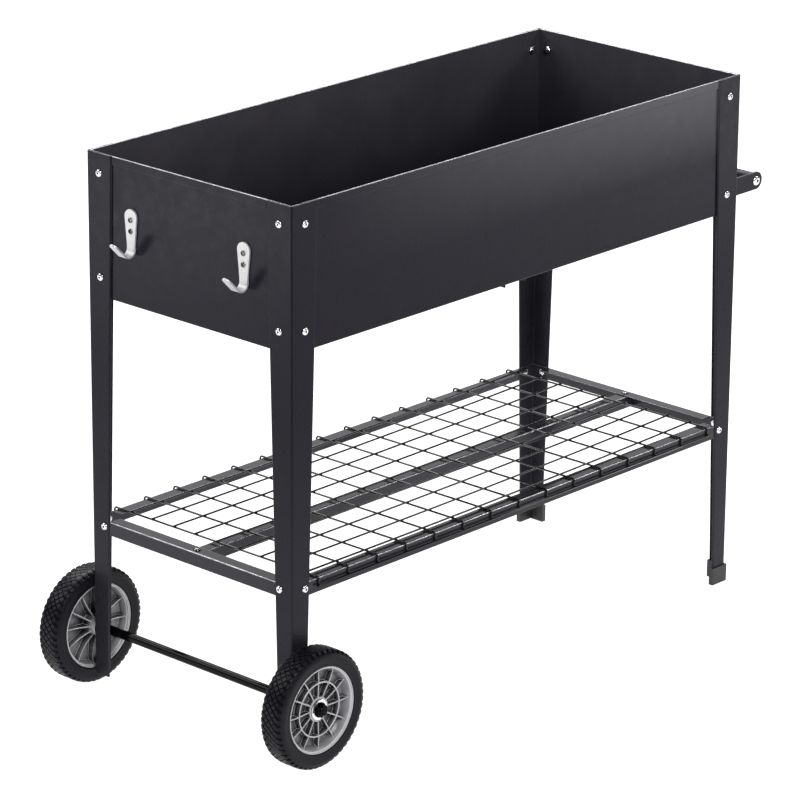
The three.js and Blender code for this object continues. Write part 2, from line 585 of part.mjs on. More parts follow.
// tyre: solid rubber, [radius, y], closed on itself, seated between the hub's rim flanges
const SEAT_HALF = 16.5;
const tyreSection = [
  [BARREL_RADIUS + GAP, -SEAT_HALF], [RIM_RADIUS + GAP, -SEAT_HALF], [RIM_RADIUS + GAP, -18.6],
  [67, -TYRE_HALF], [78, -TYRE_HALF], [WHEEL_RADIUS - 2.2, -17.2], [WHEEL_RADIUS, -TREAD_HALF],
  [WHEEL_RADIUS, TREAD_HALF], [WHEEL_RADIUS - 2.2, 17.2], [78, TYRE_HALF], [67, TYRE_HALF],
  [RIM_RADIUS + GAP, 18.6], [RIM_RADIUS + GAP, SEAT_HALF], [BARREL_RADIUS + GAP, SEAT_HALF],
  [BARREL_RADIUS + GAP, -SEAT_HALF],
];

// hub: boss, dished web and rim in one moulding, outer side towards -y
const RIM_INNER = SEAT_HALF + GAP;
const RIM_OUTER = 18.2;
const BOSS_OUTER = -12;
const BOSS_INNER = WHEEL_Y - HALF_WIDTH - GAP - 1;      // reaches nearly to the leg
const hubSection = [
  [AXLE_BORE, BOSS_OUTER], [HUB_BOSS_RADIUS, BOSS_OUTER], [HUB_BOSS_RADIUS, -3.5],
  [53, -3.5], [61.2, -RIM_OUTER], [RIM_RADIUS, -RIM_OUTER], [RIM_RADIUS, -RIM_INNER],
  [BARREL_RADIUS, -RIM_INNER], [BARREL_RADIUS, RIM_INNER], [RIM_RADIUS, RIM_INNER],
  [RIM_RADIUS, RIM_OUTER], [61.2, RIM_OUTER], [56, 0], [HUB_BOSS_RADIUS - 4, 0],
  [HUB_BOSS_RADIUS - 4, BOSS_INNER], [AXLE_BORE, BOSS_INNER], [AXLE_BORE, BOSS_OUTER],
];

const WASHER_RADIUS = 15.2;
const WASHER_THICKNESS = 1.5;
const CAP_NUT_RADIUS = 11;
const CAP_NUT_DEPTH = 8.2;
const washerFrom = BOSS_OUTER - GAP;
const capFrom = washerFrom - WASHER_THICKNESS - GAP;
const washerSection = [
  [AXLE_BORE, washerFrom - WASHER_THICKNESS], [WASHER_RADIUS, washerFrom - WASHER_THICKNESS],
  [WASHER_RADIUS, washerFrom], [AXLE_BORE, washerFrom], [AXLE_BORE, washerFrom - WASHER_THICKNESS],
];
const capSection = [
  [0, capFrom - CAP_NUT_DEPTH], [4.5, capFrom - CAP_NUT_DEPTH], [CAP_NUT_RADIUS, capFrom - 2.5],
  [CAP_NUT_RADIUS, capFrom], [AXLE_BORE, capFrom], [AXLE_BORE, capFrom - 3], [0, capFrom - 3],
];

for (const [sideName, side] of Object.entries(SIDES)) {
  const station = new THREE.Group();
  station.position.set(WHEEL_X, side * WHEEL_Y, WHEEL_RADIUS);
  if (side > 0) station.rotation.z = Math.PI;           // the outer side faces away from the tub
  planter.add(station);
  part(`${sideName}_tyre`, turned(tyreSection, WHEEL_SIDES), BLACK_RUBBER, station);
  part(`${sideName}_wheel_hub`, turned(hubSection, WHEEL_SIDES), GREY_PLASTIC, station);
  part(`${sideName}_axle_washer`, turned(washerSection, 16), BRIGHT_STEEL, station);
  part(`${sideName}_axle_cap`, turned(capSection, 12), GLOSS_BLACK, station);
}

// the axle's ends sit in the caps
const axleHalf = WHEEL_Y - capFrom + 3 - GAP;
const axle = part('axle', new THREE.CylinderGeometry(AXLE_RADIUS, AXLE_RADIUS, 2 * axleHalf, 16), GLOSS_BLACK);
axle.position.set(WHEEL_X, 0, WHEEL_RADIUS);

export default planter;
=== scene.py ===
"""The looks of the raised planter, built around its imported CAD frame.

Everything is in metres. X runs along the planter (wheels and hooks at -X, handle at +X), Y
runs across it, front at -Y, and the ground is z = 0. Positions come from the CAD nodes'
boxes; the sizes named here are sheet thicknesses, bend radii and other shop details.
"""

from math import cos, pi, radians, sin

import bmesh
import bpy
from mathutils import Matrix, Vector


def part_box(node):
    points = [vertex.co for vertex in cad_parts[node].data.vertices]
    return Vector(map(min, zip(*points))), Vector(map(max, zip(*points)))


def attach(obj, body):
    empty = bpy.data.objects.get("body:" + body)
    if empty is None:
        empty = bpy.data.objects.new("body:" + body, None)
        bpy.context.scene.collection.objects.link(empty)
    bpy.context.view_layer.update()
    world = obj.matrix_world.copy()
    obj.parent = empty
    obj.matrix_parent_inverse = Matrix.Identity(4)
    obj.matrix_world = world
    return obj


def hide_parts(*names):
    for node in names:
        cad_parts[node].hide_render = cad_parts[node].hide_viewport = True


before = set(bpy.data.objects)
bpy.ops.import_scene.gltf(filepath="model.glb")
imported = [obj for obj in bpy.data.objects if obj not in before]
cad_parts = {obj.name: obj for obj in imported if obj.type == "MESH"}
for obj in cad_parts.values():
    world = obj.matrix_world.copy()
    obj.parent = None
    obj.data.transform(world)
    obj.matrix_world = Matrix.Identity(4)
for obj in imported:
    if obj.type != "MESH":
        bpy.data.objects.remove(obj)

MM = 0.001
ORIGIN = Vector((0, 0, 0))
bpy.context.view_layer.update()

ENDS = {"left": -1, "right": 1}
SIDES = {"front": -1, "back": 1}


# ---------------- camera

def make_camera():
    """The photograph's viewpoint: a long lens from the wheel end's front corner."""
    azimuth = radians(-47.272)
    elevation = radians(19.261)
    roll = radians(0.443)
    back = Vector((sin(azimuth) * cos(elevation), -cos(azimuth) * cos(elevation), sin(elevation)))
    right = (-back).cross(Vector((0, 0, 1))).normalized()
    up = right.cross(-back)
    tilted_right = cos(roll) * right + sin(roll) * up
    tilted_up = cos(roll) * up - sin(roll) * right
    data = bpy.data.cameras.new("camera")
    data.sensor_width = 36
    data.lens = 193.96
    data.clip_end = 100
    camera = bpy.data.objects.new("camera", data)
    axes = Matrix((tilted_right, tilted_up, back)).transposed().to_4x4()
    camera.matrix_world = Matrix.Translation((-4.38242, -4.00228, 2.436195)) @ axes
    bpy.context.scene.collection.objects.link(camera)
    bpy.context.scene.camera = camera


make_camera()


# ---------------- node helpers

class Shader:
    """A small hand for building a material's nodes."""

    def __init__(self, name):
        self.material = bpy.data.materials.new(name)
        self.material.use_nodes = True
        self.tree = self.material.node_tree
        self.surface = self.tree.nodes["Principled BSDF"]
        self.place = self.tree.nodes.new("ShaderNodeTexCoord").outputs["Object"]

    def node(self, kind, inputs=None, **settings):
        node = self.tree.nodes.new("ShaderNode" + kind)
        for key, value in settings.items():
            setattr(node, key, value)
        for key, value in (inputs or {}).items():
            if isinstance(value, bpy.types.NodeSocket):
                self.tree.links.new(value, node.inputs[key])
            else:
                node.inputs[key].default_value = value
        return node

    def noise(self, scale, detail=2.0, roughness=0.5, vector=None):
        inputs = {"Vector": vector or self.place, "Scale": scale, "Detail": detail, "Roughness": roughness}
        return self.node("TexNoise", inputs).outputs["Fac"]

    def spread(self, value, low, high, start=0.0, end=1.0):
        """Maps a value from start..end to low..high."""
        inputs = {"Value": value, "From Min": start, "From Max": end, "To Min": low, "To Max": high}
        return self.node("MapRange", inputs).outputs["Result"]

    def mix(self, factor, first, second):
        node = self.node("Mix", {"Factor": factor}, data_type="RGBA")
        for socket, value in ((node.inputs[6], first), (node.inputs[7], second)):
            if isinstance(value, bpy.types.NodeSocket):
                self.tree.links.new(value, socket)
            else:
                socket.default_value = (*value, 1)
        return node.outputs[2]

    def combine(self, operation, first, second):
        return self.node("Math", {0: first, 1: second}, operation=operation).outputs[0]

    def times(self, first, second):
        return self.combine("MULTIPLY", first, second)

    def edges(self, radius):
        """Near 1 where the surface turns a tight corner, 0 on flats."""
        rounded = self.node("Bevel", {"Radius": radius}, samples=4).outputs["Normal"]
        flat = self.node("NewGeometry").outputs["Normal"]
        dot = self.node("VectorMath", {0: rounded, 1: flat}, operation="DOT_PRODUCT").outputs["Value"]
        return self.spread(dot, 1.0, 0.0, 0.75, 0.99)

    def inside_tub(self):
        """Near 1 on faces that look in at the planter's middle, 0 on faces that look out."""
        facing = self.node("NewGeometry").outputs["Normal"]
        flattened = self.node("VectorMath", {0: self.place, 1: (1, 1, 0)}, operation="MULTIPLY")
        flat_place = flattened.outputs["Vector"]
        dot = self.node("VectorMath", {0: flat_place, 1: facing}, operation="DOT_PRODUCT").outputs["Value"]
        return self.spread(dot, 1.0, 0.0, -0.12, -0.04)

    def set(self, **values):
        for key, value in values.items():
            socket = self.surface.inputs[key.replace("_", " ")]
            if isinstance(value, bpy.types.NodeSocket):
                self.tree.links.new(value, socket)
            elif isinstance(value, tuple):
                socket.default_value = (*value, 1)
            else:
                socket.default_value = value

    def bump(self, layers):
        """Bump from (height, distance in metres) layers, the first at the bottom."""
        normal = None
        for height, distance in layers:
            inputs = {"Height": height, "Distance": distance, "Strength": 1.0}
            if normal is not None:
                inputs["Normal"] = normal
            normal = self.node("Bump", inputs).outputs["Normal"]
        self.tree.links.new(normal, self.surface.inputs["Normal"])


# ---------------- materials

def powder_coat(name, level, smooth, rough, painted_sheen=0.0, highlight_band=0.0):
    """Satin charcoal powder coat: orange peel, fine grain and dust; folds lightened and part metallic as
    edge wear and painted highlight; painted light inside, low down and as a sheen high on the outside.
    """
    s = Shader(name)
    mottle = s.noise(14, 4, 0.6)
    dust = s.noise(60, 5, 0.65)
    grain = s.noise(2600, 2, 0.5)
    peel = s.noise(420, 2, 0.45)
    facing_up = s.node("SeparateXYZ", {"Vector": s.node("NewGeometry").outputs["Normal"]}).outputs["Z"]
    # Painted highlight, partly edge wear: eased edges, weighted towards upward-facing ones, and the
    # upward-leaning band below are lightened and made part metallic where folds would catch the overhead
    # light.
    corner = s.times(s.edges(0.0018), s.spread(facing_up, 0.12, 1.0, 0.1, 0.4))
    upward_highlight = s.spread(facing_up, 0.0, highlight_band, 0.2, 0.45)
    leaning_highlight = s.times(upward_highlight, s.spread(facing_up, 1.0, 0.0, 0.86, 0.97))
    fold = s.combine("MAXIMUM", corner, leaning_highlight)
    rub = s.spread(s.noise(90, 3), 0.55, 1.0, 0.35, 0.62)
    edge_wear_and_highlight = s.times(fold, rub)
    coat = s.mix(mottle, (0.0076, 0.0066, 0.0112), (0.0098, 0.0086, 0.0138))
    dusty = s.mix(s.spread(dust, 0.0, 0.10, 0.55, 0.8), coat, (0.022, 0.021, 0.025))
    height = s.node("SeparateXYZ", {"Vector": s.place}).outputs["Z"]
    # Painted light: inward-facing faces are lightened high up inside the tub and below the tub.
    in_tub = s.spread(height, 0.10, 1.0, 0.63, 0.79)
    under_tub = s.spread(height, 0.45, 0.0, 0.56, 0.60)
    painted_inner_light = s.times(s.inside_tub(), s.combine("MAXIMUM", in_tub, under_tub))
    # Painted reflection: the coat is lightened towards the ground, standing in for the floor reflected in
    # it.
    painted_floor_reflection = s.spread(height, 0.42, 0.0, 0.05, 0.5)
    painted_lift = s.combine("MAXIMUM", painted_inner_light, painted_floor_reflection)
    mottled_painted_lift = s.times(painted_lift, s.spread(mottle, 0.7, 1.0, 0.3, 0.7))
    coat_with_painted_lift = s.mix(mottled_painted_lift, dusty, (0.062, 0.059, 0.068))
    # Painted sheen: outside tub faces are lightened towards the top and towards +X, standing in for a
    # reflection of the studio light.
    along = s.node("SeparateXYZ", {"Vector": s.place}).outputs["X"]
    rising = s.spread(height, 0.0, painted_sheen, 0.68, 0.80)
    bloom_and_sheen = s.times(rising, s.spread(along, 0.0, 1.0, -0.4, 0.4))
    outside = s.times(bloom_and_sheen, s.spread(s.inside_tub(), 1.0, 0.0))
    coat_with_sheen = s.mix(outside, coat_with_painted_lift, (0.10, 0.098, 0.105))
    # Folds and upward slopes are painted light grey: partly edge wear, partly painted highlight.
    s.set(Base_Color=s.mix(s.times(edge_wear_and_highlight, 0.7), coat_with_sheen, (0.55, 0.55, 0.56)))
    s.set(Metallic=s.times(edge_wear_and_highlight, 0.6))
    dulled = s.spread(dust, smooth, rough, 0.3, 0.7)
    s.set(Roughness=s.combine("ADD", dulled, s.times(edge_wear_and_highlight, 0.06)))
    s.set(Specular_IOR_Level=s.spread(fold, level, 0.5), Specular_Tint=(0.92, 0.89, 1.0))
    s.bump([(peel, 0.00004), (grain, 0.00001)])
    return s.material


def wire_coat():
    """Thin black dip on welded wire, with drawing marks and a few rubbed spots."""
    s = Shader("black_wire_coat")
    mottle = s.noise(120, 3)
    rub = s.spread(s.noise(260, 3), 0.0, 0.5, 0.62, 0.78)
    coat = s.mix(mottle, (0.003, 0.003, 0.0035), (0.006, 0.006, 0.007))
    s.set(Base_Color=s.mix(rub, coat, (0.02, 0.02, 0.022)))
    s.set(Roughness=s.spread(mottle, 0.05, 0.09, 0.3, 0.7), Specular_IOR_Level=0.35)
    s.bump([(s.noise(1500, 2), 0.00002)])
    return s.material


def gloss_paint():
    """Gloss black paint on the axle and its end caps, with hairline scuffs."""
    s = Shader("gloss_black_paint")
    stretched = s.node("Mapping", {"Vector": s.place, "Scale": (1, 0.06, 1)}).outputs["Vector"]
    scuff = s.noise(900, 3, 0.7, stretched)
    s.set(Base_Color=s.mix(scuff, (0.0008, 0.0008, 0.0010), (0.0025, 0.0025, 0.003)))
    s.set(Roughness=s.spread(scuff, 0.04, 0.12, 0.35, 0.75), Specular_IOR_Level=0.07)
    s.bump([(s.noise(260, 2), 0.00003), (scuff, 0.00001)])
    return s.material


def plated_steel(name, dark, light, smooth, rough, metallic=1.0):
    """Zinc plate: fine brushed lines, cloudy tone and painted shade that darkens its crevices."""
    s = Shader(name)
    stretched = s.node("Mapping", {"Vector": s.place, "Scale": (1, 1, 0.05)}).outputs["Vector"]
    lines = s.noise(2200, 3, 0.6, stretched)
    cloud = s.noise(150, 4)
    occlusion_shade = s.node("AmbientOcclusion", {"Distance": 0.002}, samples=6, only_local=True).outputs["AO"]
    plate = s.mix(cloud, (dark, dark, dark * 1.015), (light, light, light * 1.015))
    # Painted shade: ambient occlusion darkens the plate in crevices and recesses.
    crevice_shade = s.spread(occlusion_shade, 1.0, 0.0, 0.5, 0.9)
    s.set(Base_Color=s.mix(crevice_shade, plate, (0.008, 0.008, 0.010)), Metallic=metallic)
    s.set(Roughness=s.combine("ADD", s.spread(lines, smooth, rough, 0.3, 0.7), s.spread(cloud, 0.0, 0.06)))
    s.bump([(lines, 0.000008), (s.noise(500, 2), 0.00001)])
    return s.material


def rubber():
    """Dull black tyre rubber: faint mould grain, grey bloom, scuffed dust and painted shade in its hollows.
    """
    s = Shader("tyre_rubber")
    bloom_and_sheen = s.noise(35, 4, 0.6)
    dust = s.noise(300, 4, 0.6)
    occlusion_shade = s.node("AmbientOcclusion", {"Distance": 0.003}, samples=6, only_local=True).outputs["AO"]
    coat = s.mix(bloom_and_sheen, (0.0050, 0.0045, 0.0078), (0.0090, 0.0080, 0.0130))
    worn = s.mix(s.spread(dust, 0.0, 0.25, 0.56, 0.8), coat, (0.030, 0.028, 0.034))
    # Painted shade: ambient occlusion darkens the rubber between the tread blocks and lugs.
    s.set(Base_Color=s.mix(s.spread(occlusion_shade, 1.0, 0.0, 0.3, 0.85), worn, (0.0026, 0.0024, 0.0034)))
    s.set(Roughness=s.spread(dust, 0.32, 0.5, 0.3, 0.7), Specular_IOR_Level=0.15)
    s.bump([(s.noise(1800, 3), 0.00003), (bloom_and_sheen, 0.0001)])
    return s.material


def hub_plastic():
    """Grey moulded plastic: fine texture, flow marks, painted shade in the pockets and edges painted light
    as a highlight.
    """
    s = Shader("grey_hub_plastic")
    flow = s.noise(40, 4, 0.6)
    speck = s.noise(1400, 2)
    occlusion_shade = s.node("AmbientOcclusion", {"Distance": 0.022}, samples=8, inside=False).outputs["AO"]
    plastic = s.mix(flow, (0.40, 0.40, 0.42), (0.50, 0.50, 0.52))
    # Painted shade: ambient occlusion darkens the pockets between the ribs.
    plastic_with_pocket_shade = s.mix(s.spread(occlusion_shade, 0.98, 0.0, 0.34, 0.95), plastic, (0.014, 0.014, 0.017))
    # Painted highlight: rib tops and rim edges are painted nearly white.
    s.set(Base_Color=s.mix(s.times(s.edges(0.0012), 0.9), plastic_with_pocket_shade, (0.92, 0.92, 0.93)))
    s.set(Roughness=s.spread(flow, 0.20, 0.32, 0.3, 0.7))
    s.bump([(speck, 0.00003), (flow, 0.00015)])
    return s.material


def cap_plastic():
    """Black injection-moulded plastic, lightly textured and scuffed near the ground."""
    s = Shader("black_cap_plastic")
    scuff = s.noise(220, 5, 0.7)
    coat = s.mix(s.noise(30, 3), (0.009, 0.009, 0.010), (0.016, 0.016, 0.017))
    s.set(Base_Color=s.mix(s.spread(scuff, 0.0, 0.5, 0.58, 0.76), coat, (0.06, 0.058, 0.056)))
    s.set(Roughness=s.spread(scuff, 0.38, 0.6, 0.3, 0.7))
    s.bump([(s.noise(1600, 2), 0.00005), (scuff, 0.00003)])
    return s.material


# Only the tub and rail copies get the painted highlight band, and only the tub copy gets the painted sheen.
COAT = powder_coat("charcoal_powder_coat", 0.09, 0.25, 0.33)
TUB_COAT = powder_coat("charcoal_powder_coat_tub", 0.09, 0.25, 0.33, painted_sheen=0.8, highlight_band=1.0)
RAIL_COAT = powder_coat("charcoal_powder_coat_gloss", 0.25, 0.12, 0.19, highlight_band=1.0)
WIRE_COAT = wire_coat()
GLOSS = gloss_paint()
STEEL = plated_steel("bright_plated_steel", 0.78, 0.92, 0.14, 0.26)
HOOK_STEEL = plated_steel("satin_plated_steel", 0.60, 0.70, 0.48, 0.58, 0.7)
# Darker than the other plated steel: painted shade, so the screw heads read dark as if reflecting their
# shaded surroundings.
SCREW_STEEL = plated_steel("polished_screw_steel", 0.12, 0.30, 0.05, 0.12)
RUBBER = rubber()
HUB = hub_plastic()
CAP = cap_plastic()


# ---------------- mesh helpers

def add_piece(name, mesh, material, body="frame", stands_for=()):
    """Puts a mesh in the scene as a piece that rides on a CAD body."""
    piece = bpy.data.objects.new(name, mesh)
    bpy.context.scene.collection.objects.link(piece)
    if not mesh.materials:
        mesh.materials.append(material)
    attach(piece, body)
    if stands_for:
        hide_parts(*stands_for)
    return piece


def mesh_of(name, bm, sharp=40):
    """A mesh from a bmesh, smooth except across edges sharper than an angle in degrees."""
    bmesh.ops.recalc_face_normals(bm, faces=bm.faces)
    mesh = bpy.data.meshes.new(name)
    bm.to_mesh(mesh)
    bm.free()
    mesh.shade_smooth()
    mesh.set_sharp_from_angle(angle=radians(sharp))
    return mesh


def with_modifiers(mesh, *modifiers):
    """The mesh after these (type, settings) modifiers."""
    carrier = bpy.data.objects.new("carrier", mesh)
    bpy.context.scene.collection.objects.link(carrier)
    for kind, settings in modifiers:
        modifier = carrier.modifiers.new(kind.lower(), kind)
        for key, value in settings.items():
            setattr(modifier, key, value)
    graph = bpy.context.evaluated_depsgraph_get()
    result = bpy.data.meshes.new_from_object(carrier.evaluated_get(graph), depsgraph=graph)
    result.name = mesh.name
    bpy.data.objects.remove(carrier)
    return result


def rounded(mesh, width, segments=2, angle=45):
    """Rounds the mesh's sharp edges and keeps its flats flat."""
    bevel = {"width": width, "segments": segments, "limit_method": "ANGLE", "angle_limit": radians(angle)}
    return with_modifiers(mesh, ("BEVEL", bevel), ("WEIGHTED_NORMAL", {"keep_sharp": True, "weight": 60}))


def sheet(name, rows, thickness, missing=lambda row, column: False, edge=0.22 * MM, offset=0.0):
    """Sheet metal from rows of points on its middle surface, thickened and with eased edges."""
    bm = bmesh.new()
    grid = [[bm.verts.new(point) for point in row] for row in rows]
    for i in range(len(grid) - 1):
        for j in range(len(grid[0]) - 1):
            if not missing(i, j):
                bm.faces.new((grid[i][j], grid[i + 1][j], grid[i + 1][j + 1], grid[i][j + 1]))
    bmesh.ops.delete(bm, geom=[v for v in bm.verts if not v.link_faces], context="VERTS")
    thin = mesh_of(name, bm, sharp=60)
    solidify = {"thickness": thickness, "offset": offset, "use_even_offset": True}
    return rounded(with_modifiers(thin, ("SOLIDIFY", solidify)), edge)


def bent_line(corners, radii, steps=6):
    """A polyline whose inner corners are rounded: 2-D points in, 2-D points out."""
    line = [Vector(corners[0])]
    for before, corner, after, radius in zip(corners, corners[1:], corners[2:], radii):
        corner = Vector(corner)
        to_before = (Vector(before) - corner).normalized()
        to_after = (Vector(after) - corner).normalized()
        half = to_before.angle(to_after) / 2
        back_off = radius / max(1e-9, abs(sin(half) / cos(half)))
        centre = corner + (to_before + to_after).normalized() * (radius / sin(half))
        start = corner + to_before * back_off - centre
        finish = corner + to_after * back_off - centre
        turn = start.angle_signed(finish)
        for step in range(steps + 1):
            angle = -turn * step / steps
            spun = Vector((start.x * cos(angle) - start.y * sin(angle),
                           start.x * sin(angle) + start.y * cos(angle)))
            line.append(centre + spun)
    line.append(Vector(corners[-1]))
    return line


def in_mm(profile):
    """A [(radius, along)] profile given in millimetres, in metres."""
    return [(radius * MM, along * MM) for radius, along in profile]


def revolve(bm, profile, steps, axis_point, outward=1, closed=False, start=0.0):
    """Turns a [(radius, along)] profile about the Y axis through a point."""
    rings = []
    for radius, along in profile:
        ring = []
        count = steps if radius > 1e-7 else 1
        for step in range(count):
            angle = start + 2 * pi * step / steps
            offset = Vector((radius * sin(angle), outward * along, radius * cos(angle)))
            ring.append(bm.verts.new(axis_point + offset))
        rings.append(ring)
    pairs = list(zip(rings, rings[1:]))
    if closed:
        pairs.append((rings[-1], rings[0]))
    for first, second in pairs:
        for step in range(steps):
            following = (step + 1) % steps
            corners = [first[step % len(first)], first[following % len(first)],
                       second[following % len(second)], second[step % len(second)]]
            unique = list(dict.fromkeys(corners))
            if len(unique) > 2:
                bm.faces.new(unique)


def add_block(bm, lower, upper):
    """A block given as four lower and four upper corner points, ordered alike."""
    low = [bm.verts.new(point) for point in lower]
    top = [bm.verts.new(point) for point in upper]
    bm.faces.new(low)
    bm.faces.new(top)
    for k in range(len(low)):
        following = (k + 1) % len(low)
        bm.faces.new((low[k], low[following], top[following], top[k]))


def bridge(bm, rings):
    """Walls between neighbouring rings of corners, and a face over each end."""
    for first, second in zip(rings, rings[1:]):
        for k in range(len(first)):
            following = (k + 1) % len(first)
            bm.faces.new((first[k], first[following], second[following], second[k]))
    bm.faces.new(rings[0])
    bm.faces.new(rings[-1])


def add_tube(bm, path, radius, sides=10):
    """A round wire along a path, with slightly domed ends."""
    points = [Vector(p) for p in path]
    first = (points[0] - points[1]).normalized()
    last = (points[-1] - points[-2]).normalized()
    points = [points[0] + first * radius * 0.3] + points + [points[-1] + last * radius * 0.3]
    scale = [0.62] + [1.0] * (len(points) - 2) + [0.62]
    turns = [2 * pi * k / sides for k in range(sides)]
    rings = []
    side = None
    for i, point in enumerate(points):
        ahead = (points[min(i + 1, len(points) - 1)] - points[max(i - 1, 0)]).normalized()
        if side is None:
            side = ahead.orthogonal().normalized()
        side = (side - ahead * side.dot(ahead)).normalized()
        other = ahead.cross(side)
        rings.append([bm.verts.new(point + (side * cos(turn) + other * sin(turn)) * radius * scale[i])
                      for turn in turns])
    bridge(bm, rings)


def dress_cad(node, material, edge_name, width, segments):
    """A CAD solid that keeps its own shape gets its material and eased edges."""
    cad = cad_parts[node]
    cad.data.materials.clear()
    cad.data.materials.append(material)
    bevel = cad.modifiers.new(edge_name, "BEVEL")
    bevel.width = width
    bevel.segments = segments
    bevel.limit_method = "ANGLE"
    bevel.angle_limit = radians(50)
    return cad


# ---------------- legs

LEG_SHEET = 1.2 * MM
LEG_BEND = 2.0 * MM
LEG_LIP = 2.9 * MM
LIP_BEND = 1.4 * MM
FLOOR_WIDTHS = (27.2 * MM, 26.4 * MM)
TOP_WIDTHS = (50.6 * MM, 48.2 * MM)
PLANTER_HEIGHT = 800 * MM


def make_leg(side_name, side, end_name, end):
    """A tapered angle folded from sheet, with a return lip along each free edge."""
    node = f"{side_name}_{end_name}_leg"
    low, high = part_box(node)
    corner_x = low.x if end < 0 else high.x
    corner_y = low.y if side < 0 else high.y
    foot, top = low.z, high.z
    half = LEG_SHEET / 2
    rows = []
    steps = 14
    for i in range(steps + 1):
        z = foot + (top - foot) * i / steps
        along, across = (f + (t - f) * z / PLANTER_HEIGHT for f, t in zip(FLOOR_WIDTHS, TOP_WIDTHS))
        corners = [(along - half, LEG_LIP), (along - half, half), (half, half),
                   (half, across - half), (LEG_LIP, across - half)]
        line = bent_line(corners, (LIP_BEND, LEG_BEND, LIP_BEND))
        rows.append([(corner_x - end * p.x, corner_y - side * p.y, z) for p in line])
    mesh = sheet(f"leg_{side_name}_{end_name}", rows, LEG_SHEET)
    add_piece(mesh.name, mesh, COAT, stands_for=[node])


for side_name, side in SIDES.items():
    for end_name, end in ENDS.items():
        make_leg(side_name, side, end_name, end)


# ---------------- tub panels

PANEL_SHEET = 0.9 * MM
HEM_HEIGHT = 12.5 * MM
HEM_PROUD = 2.0 * MM
HEM_CLEARANCE = 1 * MM
BOTTOM_FLANGE = 15 * MM
PANEL_BEND = 2.0 * MM


def panel_line(face, bottom, top, flange):
    """The panel's section, outwards and z: bottom flange, wall, rolled rim and hem."""
    half = PANEL_SHEET / 2
    wall = face - half
    hem = face + HEM_PROUD - half
    roll = (hem - wall) / 2
    line = bent_line([(face - flange, bottom + half), (wall, bottom + half), (wall, top - roll - half)],
                     [PANEL_BEND])
    for step in range(1, 9):
        angle = pi - pi * step / 8
        line.append(Vector((wall + roll + roll * cos(angle), top - roll - half + roll * sin(angle))))
    line.append(Vector((hem, top - HEM_HEIGHT)))
    return line


def make_panel(node, name, face, reach, hem_reach, place):
    """A tub wall whose folded rim stops short of the legs at both ends."""
    low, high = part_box(node)
    line = panel_line(face, low.z, high.z, BOTTOM_FLANGE)
    hem_from = len(line) - 9
    inside = [hem_reach * k / 12 for k in range(-12, 13)]
    stations = [-reach, -reach + 16 * MM] + inside + [reach - 16 * MM, reach]
    rows = [[place(s, p.x, p.y) for p in line] for s in stations]
    last = len(stations) - 2

    def missing(row, column):
        outside_hem = row in (0, 1, last - 1, last) and column >= hem_from + 4
        mitre = row in (0, last) and column < 6
        return outside_hem or mitre

    mesh = sheet(name, rows, PANEL_SHEET, missing)
    add_piece(name, mesh, TUB_COAT, stands_for=[node])


def make_panels():
    leg_low, leg_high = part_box("front_left_leg")
    side_width = leg_high.x - leg_low.x
    end_width = leg_high.y - leg_low.y
    for side_name, side in SIDES.items():
        low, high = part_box(f"{side_name}_panel")
        face = max(abs(low.y), abs(high.y)) - HEM_PROUD
        reach = (high.x - low.x) / 2
        middle = (high.x + low.x) / 2
        hem = middle - leg_low.x - side_width - HEM_CLEARANCE
        make_panel(f"{side_name}_panel", f"tub_wall_{side_name}", face, reach, hem,
                   lambda s, a, z, side=side, middle=middle: (middle + s, side * a, z))
    for end_name, end in ENDS.items():
        low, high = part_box(f"{end_name}_end_panel")
        middle = (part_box("front_panel")[0].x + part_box("front_panel")[1].x) / 2
        outer = low.x if end < 0 else high.x
        face = abs(outer - middle) - HEM_PROUD
        reach = (high.y - low.y) / 2
        hem = abs(leg_low.y) - end_width - HEM_CLEARANCE
        make_panel(f"{end_name}_end_panel", f"tub_wall_{end_name}_end", face, reach, hem,
                   lambda s, a, z, end=end, middle=middle: (middle + end * a, s, z))


make_panels()


# ---------------- tub floor

def make_floor():
    """The floor trays and their cross channel keep their CAD shape, with eased edges and beads."""
    for node in ("left_floor_panel", "right_floor_panel", "floor_support_bar"):
        dress_cad(node, COAT, "eased_edges", 0.35 * MM, 2)
    for end_name in ENDS:
        low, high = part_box(f"{end_name}_floor_panel")
        for index, share in enumerate((0.22, 0.5, 0.78)):
            x = low.x + (high.x - low.x) * share
            make_bead(f"floor_bead_{end_name}_{index + 1}", x, low.y * 0.8, high.y * 0.8, high.z)


def make_bead(name, x, y_from, y_to, z):
    """A shallow pressed stiffening bead that runs across the floor."""
    half_width = 7 * MM
    rise = 1.6 * MM
    bm = bmesh.new()
    rows = []
    for i in range(41):
        share = i / 40
        y = y_from + (y_to - y_from) * share
        end_fall = min(1.0, min(share, 1 - share) * 40 / 3)
        fall = sin(end_fall * pi / 2)
        rows.append([bm.verts.new((x + half_width * t * (0.55 + 0.45 * fall), y,
                                   z - 0.2 * MM + rise * fall * cos(t * pi / 2) ** 0.8))
                     for t in (-1, -0.8, -0.5, -0.2, 0.2, 0.5, 0.8, 1)])
    for first, second in zip(rows, rows[1:]):
        for k in range(len(first) - 1):
            bm.faces.new((first[k], first[k + 1], second[k + 1], second[k]))
        bm.faces.new((first[0], second[0], second[-1], first[-1]))
    bm.faces.new(rows[0])
    bm.faces.new(rows[-1])
    add_piece(name, mesh_of(name, bm), COAT)


make_floor()


# ---------------- shelf frame

RAIL_SHEET = 1.2 * MM
RAIL_BEND = 1.6 * MM
RAIL_FLANGE = 20 * MM
SIDE_FLANGE_STOP = 35.3 * MM
END_FLANGE_STOP = 34.0 * MM


